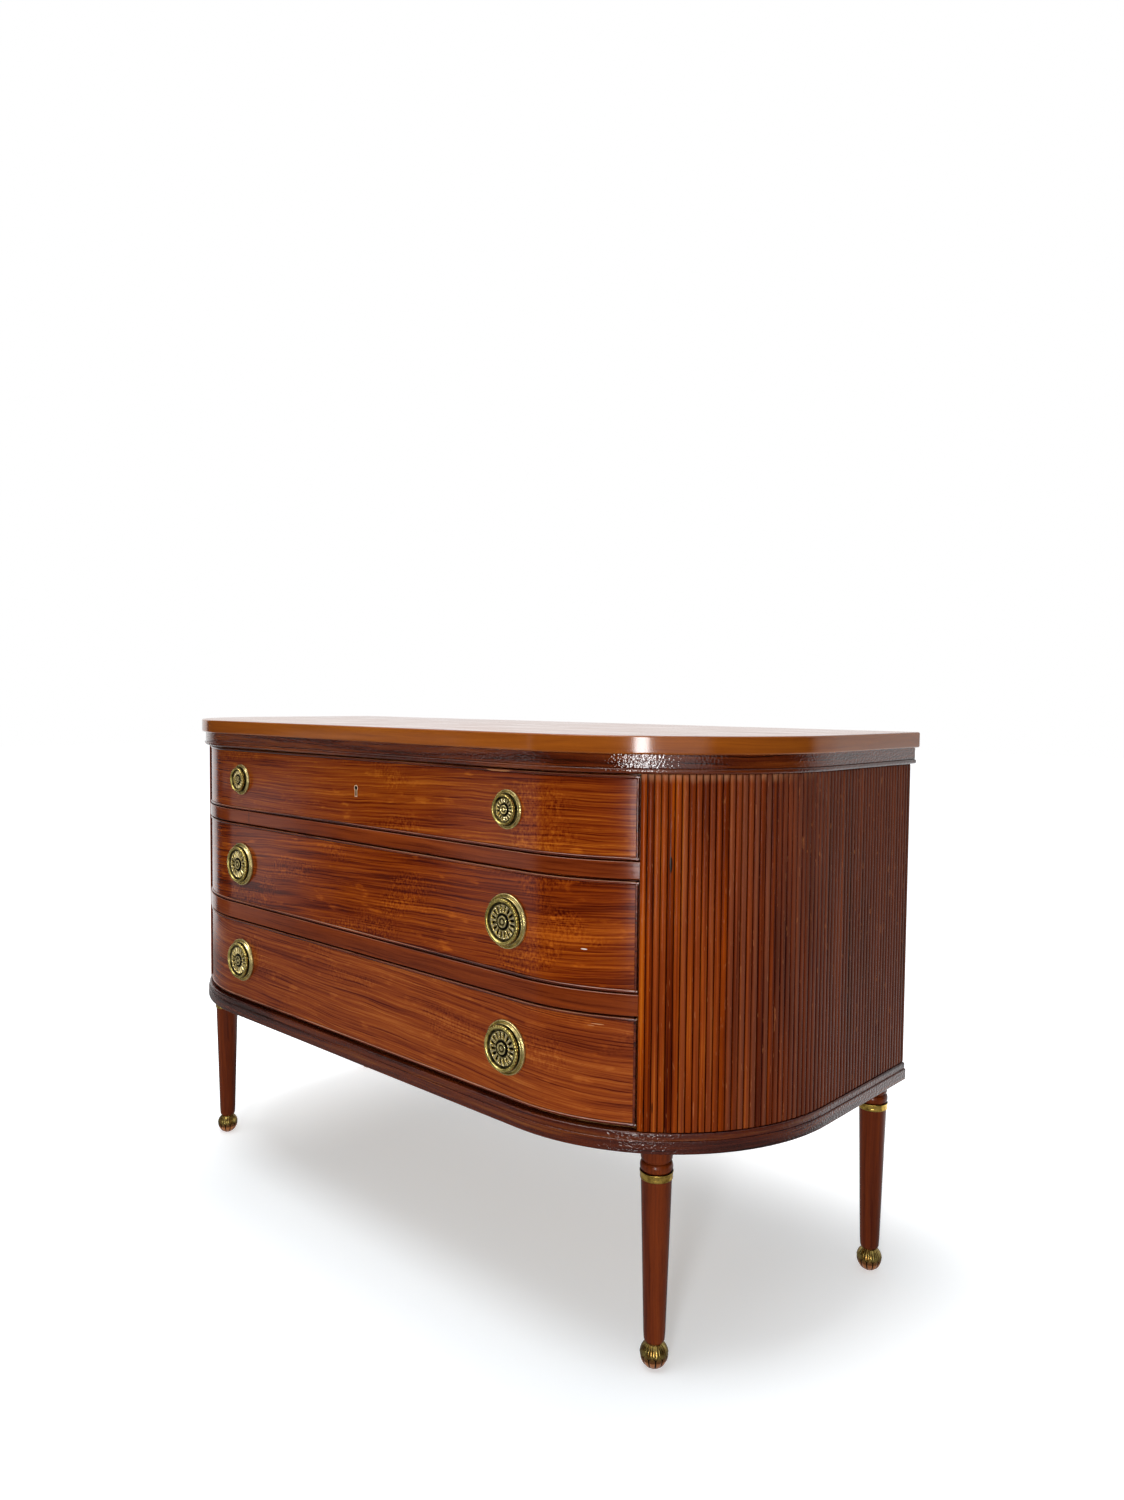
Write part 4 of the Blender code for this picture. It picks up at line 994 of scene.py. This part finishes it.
def make_escutcheon(finish):
    """The brass lining of the keyhole, its rim a little rounded, bright in front and dark inside."""
    low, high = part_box("drawer_top_escutcheon")
    lining = keyhole(KEYHOLE_RIM, low.y, high.y)
    fit(lining, keyhole(0, low.y - OVERRUN, high.y + OVERRUN), 'DIFFERENCE')
    take_up(lining)
    bpy.ops.object.mode_set(mode='EDIT')
    ease(lambda edge: max(abs(vert.co.y - low.y) for vert in edge.verts) < MERGE_REACH
         and len(edge.link_faces) == 2 and edge.calc_face_angle() > SMOOTH_ANGLE, KEYHOLE_RIM * 0.3, steps=2)
    lining = outward()
    carve(lining, lambda spot: (spot, 1.3 * soft(spot.y - low.y, LINING_BRIGHT, LINING_DARK) - 0.3))
    finish_piece(lining, "keyhole_lining", finish, "drawer_top", ["drawer_top_escutcheon"])


# Knobs: radii of the plate, the head, its ring of slots, its eye and its boss, heights of plate and head,
# how many notches and slots there are, and half a slot's width as a share of its pitch
LARGE_KNOB = {"plate": 0.0336, "plate_height": 0.0044, "head": 0.0284, "rosette": 0.0209, "eye": 0.0110,
              "boss": 0.0076, "height": 0.0062, "notches": 40, "slots": 16, "slot_share": 0.29}
SMALL_KNOB = {"plate": 0.0240, "plate_height": 0.0032, "head": 0.0188, "rosette": 0.0139, "eye": 0.0082,
              "boss": 0.0058, "height": 0.0064, "notches": 26, "slots": 16, "slot_share": 0.28}
PLATE_HOLLOW, PLATE_HOLLOW_HALF = 0.925, 0.022
FLAT_STEPS = 26
FLAT_SHARE = 0.4
SLOT_BORDER = 0.012
SLOT_SINK = 0.34
RIB_CROWN = 0.0005
NOTCH_SHARE = 0.022
NOTCH_DROP = 0.0005


def make_plate(size):
    """A knob's back plate, turned with a rounded rim, a hollow and a raised bead."""
    radius, tall = size["plate"], size["plate_height"]
    line = [(1, 0), (1, 0.42), (0.985, 0.62), (0.962, 0.66), (0.945, 0.5), (0.93, 0.36), (0.905, 0.38),
            (0.885, 0.62), (0.87, 0.92), (0.855, 1), (0.84, 0.93), (0.825, 0.75), (0.80, 0.7)]
    curve = eased([(radius * r, tall * z) for r, z in line], steps=3)
    plate = turn_up([(0, 0), *curve, (0, tall * 0.7)], KNOB_STEPS // 2)

    def cut(spot):
        share = spot.xy.length / radius
        # Darker in the hollow, as patina, and at the foot; painted shade under the head; painted highlight,
        # with polish, on the outer rim
        hollow = soft(PLATE_HOLLOW_HALF - abs(share - PLATE_HOLLOW), 0, 0.02)
        low_down = soft(0.3 - spot.z / tall, 0, 0.3)
        polish_and_highlight = -0.4 * soft(share - 0.82, 0, 0.03)
        return spot, polish_and_highlight + max(hollow * 1.1, soft(0.83 - share, 0, 0.02) * 0.55, low_down * 1.1)

    carve(plate, cut)
    return plate


def head_line(size, foot):
    """The line of a knob's head: a rounded rim, a cove, a flat for the slots and a boss in the eye."""
    head, rosette, eye, boss, tall = (size[key] for key in ("head", "rosette", "eye", "boss", "height"))
    rim = [(0.94, 0), (0.955, 0.10), (0.99, 0.42), (1, 0.62), (0.985, 0.84), (0.955, 0.96), (0.92, 1),
           (0.885, 0.95), (0.86, 0.84), (0.845, 0.70), (0.83, 0.58)]
    curve = eased([(head * r, foot + tall * z) for r, z in rim], steps=4)
    ledge = [(rosette + head * SLOT_BORDER, foot + tall * 0.44), (rosette, foot + tall * 0.42)]
    reach = (rosette - eye) / FLAT_STEPS
    flat = [(rosette - reach * step, foot + tall * FLAT_SHARE) for step in range(1, FLAT_STEPS)]
    middle = [(eye, FLAT_SHARE), (eye - (eye - boss) * 0.6, 0.32), (boss, 0.36)]
    dome = ((0.98, 0.52), (0.93, 0.62), (0.84, 0.66), (0.74, 0.63), (0.62, 0.54), (0.45, 0.54), (0.32, 0.60),
            (0.2, 0.69), (0.08, 0.72))
    middle += [(boss * r, z) for r, z in dome]
    return [(0, foot), *curve, *ledge, *flat, *eased([(r, foot + tall * z) for r, z in middle], steps=3),
            (0, foot + tall * 0.72)]


def make_head(size):
    """A knob's head: a notched rim, a cove down to a ring of slots, and a boss in the eye."""
    head, rosette, eye, boss, tall = (size[key] for key in ("head", "rosette", "eye", "boss", "height"))
    foot = size["plate_height"] + SEAT_GAP
    piece = turn_up(head_line(size, foot), KNOB_STEPS)
    inner, outer = eye + head * SLOT_BORDER, rosette - head * SLOT_BORDER
    middle_radius, half_length = (inner + outer) / 2, (outer - inner) / 2

    def cut_slot(spot, radius, turn):
        pitch = FULL_TURN * radius / size["slots"]
        offset = abs((turn * size["slots"] / FULL_TURN) % 1 - 0.5) * pitch
        half_width = pitch * size["slot_share"]
        beyond = max(0, abs(radius - middle_radius) - (half_length - half_width))
        sunk = soft(half_width - math.hypot(offset, beyond), 0, half_width * 0.3)
        crown = RIB_CROWN * soft(offset, half_width, pitch / 2)
        spot.z += crown - tall * SLOT_SINK * sunk
        # Near black on the slot floors, painted shade for slots pierced through; painted highlight, with
        # polish, on the ribs between them
        return 1.7 * sunk - 0.7

    def cut(spot):
        radius = spot.xy.length
        # Painted shade underneath, where the head sits on the plate
        if spot.z < foot + tall * 0.05 and radius < head * 0.9:
            return spot, 1.0
        turn = math.atan2(spot.y, spot.x)
        share = radius / head
        # Darker inside the rim, as patina and painted shade; painted highlight, with polish, on the rim;
        # painted shade under the rim's lower half
        grime = 0.62 * soft(0.88 - share, 0, 0.05) - 0.5 * soft(share - 0.88, 0, 0.04)
        low_down = soft(foot + tall * 0.5 - spot.z, 0, tall * 0.3)
        grime = max(grime, 0.9 * low_down * soft(share - 0.9, 0, 0.02))
        if share > 0.96:
            notch = 1 - abs(math.cos(turn * size["notches"] / 2)) ** 0.6
            keep = 1 - NOTCH_SHARE * notch
            spot = Vector((spot.x * keep, spot.y * keep, spot.z - NOTCH_DROP * notch))
            grime += notch * 0.8
        if inner < radius < outer:
            grime = cut_slot(spot, radius, turn)
        elif eye * 0.78 < radius < eye:
            grime = 0.5 + 0.2 * soft(eye - radius, 0, eye * 0.15)
        # Patina round the foot of the boss
        if boss * 0.98 < radius < boss * 1.12:
            grime = 0.8
        # Painted highlight, with polish, on the top of the boss and on its ring
        if radius < boss * 0.35 or boss * 0.7 < radius < boss * 0.95:
            grime = -0.5
        if boss * 0.35 < radius < boss * 0.66:
            grime = 0.7 * soft(boss * 0.16 - abs(radius - boss * 0.5), 0, boss * 0.08)
        return spot, grime

    carve(piece, cut)
    return piece


def make_knobs(drawer, patterns, finish):
    """A pair of knobs, each a plate and a head, standing out from the front."""
    for hand in ("left", "right"):
        low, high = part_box(f"{drawer}_knob_plate_{hand}")
        place = Matrix.Translation(((low.x + high.x) / 2, high.y, (low.z + high.z) / 2))
        place = place @ Matrix.Rotation(QUARTER_TURN, 4, 'X')
        for part, pattern in zip(("plate", "head"), patterns):
            finish_piece(copied(pattern, place), f"{drawer}_brass_{part}_{hand}", finish,
                         drawer, [f"{drawer}_knob_{part}_{hand}"])


# Stage

CAMERA_PLACE = Vector((1.19580, -1.10074, 0.77256))
CAMERA_YAW = 0.746197
CAMERA_PITCH = 0.048553
CAMERA_ROLL = 0.009321
CAMERA_LENS = 25.143
SENSOR_WIDTH = 36.0


def set_camera():
    """The camera at the height of the top, looking at the front corner from the right."""
    ahead = Vector((-math.sin(CAMERA_YAW), math.cos(CAMERA_YAW), 0))
    right = Vector((math.cos(CAMERA_YAW), math.sin(CAMERA_YAW), 0))
    up = Vector((0, 0, 1))
    forward = ahead * math.cos(CAMERA_PITCH) - up * math.sin(CAMERA_PITCH)
    lifted = ahead * math.sin(CAMERA_PITCH) + up * math.cos(CAMERA_PITCH)
    across = right * math.cos(CAMERA_ROLL) + lifted * math.sin(CAMERA_ROLL)
    upright_axis = lifted * math.cos(CAMERA_ROLL) - right * math.sin(CAMERA_ROLL)
    lens = bpy.data.cameras.new("camera")
    lens.lens = CAMERA_LENS
    lens.sensor_width = SENSOR_WIDTH
    lens.clip_start = 0.01
    camera = bpy.data.objects.new("camera", lens)
    bpy.context.collection.objects.link(camera)
    turn = Matrix((across, upright_axis, -forward)).transposed().to_4x4()
    camera.matrix_world = Matrix.Translation(CAMERA_PLACE) @ turn
    bpy.context.scene.camera = camera


def stand(item, place, aim):
    """Put a lamp or card in its place, facing its aim."""
    place = Vector(place)
    turn = (Vector(aim) - place).to_track_quat('-Z', 'Y').to_matrix().to_4x4()
    item.matrix_world = Matrix.Translation(place) @ turn


def light_panel(name, place, aim, width, height, radiance):
    """A soft light of this size and brightness that the camera doesn't see."""
    panel = bpy.data.lights.new(name, 'AREA')
    panel.shape = 'RECTANGLE'
    panel.size, panel.size_y = width, height
    panel.energy = radiance * math.pi * width * height
    lamp = bpy.data.objects.new(name, panel)
    bpy.context.collection.objects.link(lamp)
    stand(lamp, place, aim)
    lamp.visible_camera = False


def plane(name, width, height):
    """A flat sheet, lying face up at the middle of the floor."""
    begin()
    bpy.ops.mesh.primitive_plane_add(size=1, location=(0, 0, 0))
    sheet = bpy.context.object
    sheet.scale = (width, height, 1)
    bpy.ops.object.transform_apply(location=False, rotation=False, scale=True)
    sheet.name = name
    return sheet


def paint_glow(f, sheet, tone, roughness, glow):
    """Give a sheet a dull paint that also glows by itself."""
    f.shade(Base_Color=tone, Roughness=roughness, Specular_IOR_Level=0.0,
            Emission_Color=f.vector(glow, glow, glow), Emission_Strength=1.0)
    sheet.data.materials.append(f.material)


def dark_card(name, place, aim, width, height, grey=0.02, fade=0.15):
    """A dark card with soft edges that only the polish and the brass mirror."""
    card = plane(name, width, height)
    f = Finish(name + "_paint")
    x, y, _ = f.place()
    off_middle = (x / (width / 2)).of('ABSOLUTE').of('MAXIMUM', (y / (height / 2)).of('ABSOLUTE'))
    paint_glow(f, card, (0, 0, 0, 1), 1.0, f.step(off_middle, 1 - fade, 1) * (1 - grey) + grey)
    stand(card, place, aim)
    card.visible_camera = card.visible_diffuse = card.visible_shadow = card.visible_transmission = False


def seen_straight(f):
    """1 for what the eye sees, also in a mirror or through glass, and 0 for the light that it gives."""
    camera, mirror, glass = (f.add("ShaderNodeLightPath", {}, [], output=f"Is {way} Ray")
                             for way in ("Camera", "Glossy", "Transmission"))
    return camera.of('MAXIMUM', mirror).of('MAXIMUM', glass)


FLOOR_SIZE = 30
FLOOR_TONE = (0.70, 0.745, 0.785, 1)

# The floor glows by this much in a rounded oblong under the chest, a painted shadow over its real one, and
# more from the near to the far edge round it, which are given in half sizes
FLOOR_GLOW = 0.368
GLOW_X, GLOW_Y = 0.091, -0.047
GLOW_HALF_X, GLOW_HALF_Y = 0.263, 0.184
GLOW_SQUARENESS = 7.4
GLOW_NEAR, GLOW_FAR = 1.28, 3.54

# The light from all round grows from low down to high up
WORLD_LOW, WORLD_HIGH = 0.12, 0.36
RISE_LOW, RISE_HIGH = 0.1, 0.9
RUG_HEIGHT = 0.012


def lay_floor():
    """A pale floor that keeps the chest's shadow, with a painted shadow where it glows less under the chest.
    """
    floor = plane("floor", FLOOR_SIZE, FLOOR_SIZE)
    f = Finish("floor_paint")
    x, y, _ = f.place()
    # Less glow in the oblong under the chest: a painted shadow
    across = ((x - GLOW_X) / GLOW_HALF_X).of('ABSOLUTE').of('POWER', GLOW_SQUARENESS)
    deep = ((y - GLOW_Y) / GLOW_HALF_Y).of('ABSOLUTE').of('POWER', GLOW_SQUARENESS)
    out_of_painted_shadow = f.step((across + deep).of('POWER', 1 / GLOW_SQUARENESS), GLOW_NEAR, GLOW_FAR)
    glow = seen_straight(f) * (out_of_painted_shadow * (1 - FLOOR_GLOW) + FLOOR_GLOW)
    paint_glow(f, floor, FLOOR_TONE, 0.9, glow)


def set_world():
    """White all round to the eye, with a soft light from above."""
    world = bpy.data.worlds.new("studio")
    world.use_nodes = True
    bpy.context.scene.world = world
    w = Finish(tree=world.node_tree)
    rise = w.parts(w.add("ShaderNodeTexCoord", {}, [], output="Generated"))[2]
    soft_light = w.step(rise, RISE_LOW, RISE_HIGH) * (WORLD_HIGH - WORLD_LOW) + WORLD_LOW
    background = world.node_tree.nodes["Background"]
    background.inputs["Color"].default_value = (1, 1, 1, 1)
    seen = seen_straight(w)
    w.feed(background.inputs["Strength"], seen + (1 - seen) * soft_light)


def set_stage():
    """The floor, white all round, a window, a light above and dark cards."""
    lay_floor()
    set_world()
    light_panel("window", (1.93, -2.81, 0.75), (0.3, -0.2, 0.5), width=0.43, height=1.75, radiance=32)
    light_panel("overhead", (-0.15, -0.62, 3.2), (0.0, 0.0, 0.26), width=1.8, height=1.7, radiance=6.4)
    dark_card("front_card", (0.33, -1.39, 0.65), (0.45, -0.20, 0.65), 1.52, 1.6, fade=0.1)
    dark_card("left_card", (-1.54, -1.45, 0.3), (0.05, -0.23, 0.3), 0.55, 0.7)
    dark_card("high_card", (-1.70, -1.35, 1.05), (0.05, -0.23, 1.05), 2.5, 1.15)
    dark_card("side_card", (-2.14, -0.67, 0.85), (-0.45, -0.20, 0.85), 1.0, 2.0)
    dark_card("right_card", (1.95, 0.08, 1.0), (0.50, 0.0, 1.0), 2.2, 2.3, fade=0.3)
    dark_card("rug_card", (-0.10, -0.75, RUG_HEIGHT), (-0.10, -0.75, -1.0), 4.6, 2.6, grey=0.3, fade=0.3)


PINE = ("c49a62", "b0834c", "8f6536")
OAK = ("b08a5c", "9a7548", "7c5a34")

# Which way the grain of a plain board runs
ALONG, BACKWARDS, UPWARDS = 0, 1, 2


def make_finishes():
    """Every finish of the chest, by name."""
    return {
        "slab_face": mahogany("top_face_polish", ("6a3210", "8c4a1c", "9c5a24", "b27038"), 3.1, streak=0.5,
                              band=0.6, across=90, rough=0.12, specular=0.1, solid=True),
        "slab_edge": mahogany("top_edge_polish", ("6b2e08", "7e400f", "8c4a12", "a0601e"), 3.1, streak=0.6,
                              across=110, rough=0.12, specular=0.4, ripple=0.00002, swell=0.00008),
        "frieze": mahogany("frieze_varnish", ("200801", "461706", "622a0a", "844416"), 8.3, rough=0.09,
                           specular=0.5, orange_peel=0.0006),
        "base": mahogany("base_varnish", ("180602", "3c140a", "542008", "744016"), 5.7, rough=0.13,
                         specular=0.35, orange_peel=0.0008),
        "drawer_top": mahogany("top_drawer_veneer", ("400e02", "6c2706", "823a0a", "a25614"), 1.7,
                               mottle=0.8, slope=-0.02, across=390.0, specular=0.14, streak=1.2),
        "drawer_middle": mahogany("middle_drawer_veneer", ("3c0c02", "662304", "803607", "a04f10"), 11.9,
                                  mottle=0.85, slope=-0.045, across=360.0, streak=1.25,
                                  specular=0.14, marks=MIDDLE_DRAWER_MARKS),
        "drawer_lower": mahogany("lower_drawer_veneer", ("441204", "702c0c", "883f12", "a25a22"), 21.3,
                                 mottle=0.5, slope=0.03, across=370.0, specular=0.14, streak=1.1,
                                 marks=LOWER_DRAWER_MARKS),
        # The bead's darker tones are painted shade on its face and lower rounding
        "bead": mahogany("bead_shaded_polish", ("240802", "481808", "5e240e", "7a3a1a"), 2.9, rough=0.16,
                         specular=0.5, marks=BEAD_MARKS),
        # A lighter copy for the upward faces of arrises and beads: wear and painted highlight from the light
        # above
        "arris": mahogany("rubbed_and_lit_arris", ("5a2a18", "8a5038", "a06a4c", "b88a6a"), 2.9, rough=0.16,
                          specular=0.5),
        "rail": mahogany("rail_polish", ("3c1003", "62260b", "76320f", "8c461a"), 31.1, streak=0.7,
                         specular=0.13, marks=RAIL_MARKS),
        "leg": mahogany("leg_polish", ("3a1004", "582107", "682a0a", "7c3c12"), 41.7, across=190, along=3.5,
                        streak=0.6, rough=0.22, specular=0.16),
        "reed": reeded_wood(),
        "brass": aged_brass("aged_brass_polish", "dcc878", "988642", metallic=0.92),
        "ring_brass": aged_brass("ring_brass_polish", "dcb85c", "94722e", 0.2),
        "foot_brass": aged_brass("foot_brass_polish", "a08c4e", "6a4c22", 0.26, copper="96603a"),
        "keyhole_brass": aged_brass("keyhole_brass_polish", "e4bc98", "c89c74", 0.4, metallic=0.3),
        "front_core": plain_board("front_core_wood", ("a9794a", "95663a", "7d5330"), ALONG),
        "pine_long": plain_board("case_pine_long", PINE, ALONG),
        "pine_deep": plain_board("case_pine_deep", PINE, BACKWARDS),
        "pine_tall": plain_board("case_pine_tall", ("c09660", "aa7f4a", "8a6236"), UPWARDS),
        "oak_deep": plain_board("drawer_oak_deep", OAK, BACKWARDS, rough=0.55),
        "oak_long": plain_board("drawer_oak_long", OAK, ALONG, rough=0.55),
        "iron": lock_iron(),
    }


def dress_inner_boards(finishes):
    """The boards and the lock that keep their CAD shape get their own wood and iron."""
    inner = {"back_panel": "pine_tall", "bottom_board": "pine_long", "top_front_rail": "pine_long",
             "partition_left": "pine_deep", "partition_right": "pine_deep", "runner_frame_lower": "pine_deep",
             "runner_frame_upper": "pine_deep", "drawer_top_lock_case": "iron", "lock_bolt": "iron"}
    for drawer in ("drawer_lower", "drawer_middle", "drawer_top"):
        inner.update({drawer + "_side_left": "oak_deep", drawer + "_side_right": "oak_deep",
                      drawer + "_back": "oak_long", drawer + "_bottom": "oak_long"})
    for node, finish in inner.items():
        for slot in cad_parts[node].material_slots:
            slot.material = finishes[finish]


def main():
    """Set the camera and the light, and build the chest piece by piece."""
    bpy.context.scene.view_settings.view_transform = 'Standard'
    set_camera()
    set_stage()
    finishes = make_finishes()
    make_slab(finishes)
    make_frieze(finishes["frieze"])
    make_base(finishes["base"])
    make_divider("upper", finishes)
    make_divider("lower", finishes)
    for hand in ("left", "right"):
        make_reeds(hand, finishes["reed"])
    make_legs(finishes)
    large = (make_plate(LARGE_KNOB), make_head(LARGE_KNOB))
    small = (make_plate(SMALL_KNOB), make_head(SMALL_KNOB))
    for drawer, patterns in (("drawer_lower", large), ("drawer_middle", large), ("drawer_top", small)):
        make_front(drawer, finishes)
        make_cockbead(drawer, finishes)
        make_knobs(drawer, patterns, finishes["brass"])
    for pattern in (*large, *small):
        bpy.data.objects.remove(pattern)
    make_escutcheon(finishes["keyhole_brass"])
    dress_inner_boards(finishes)


main()
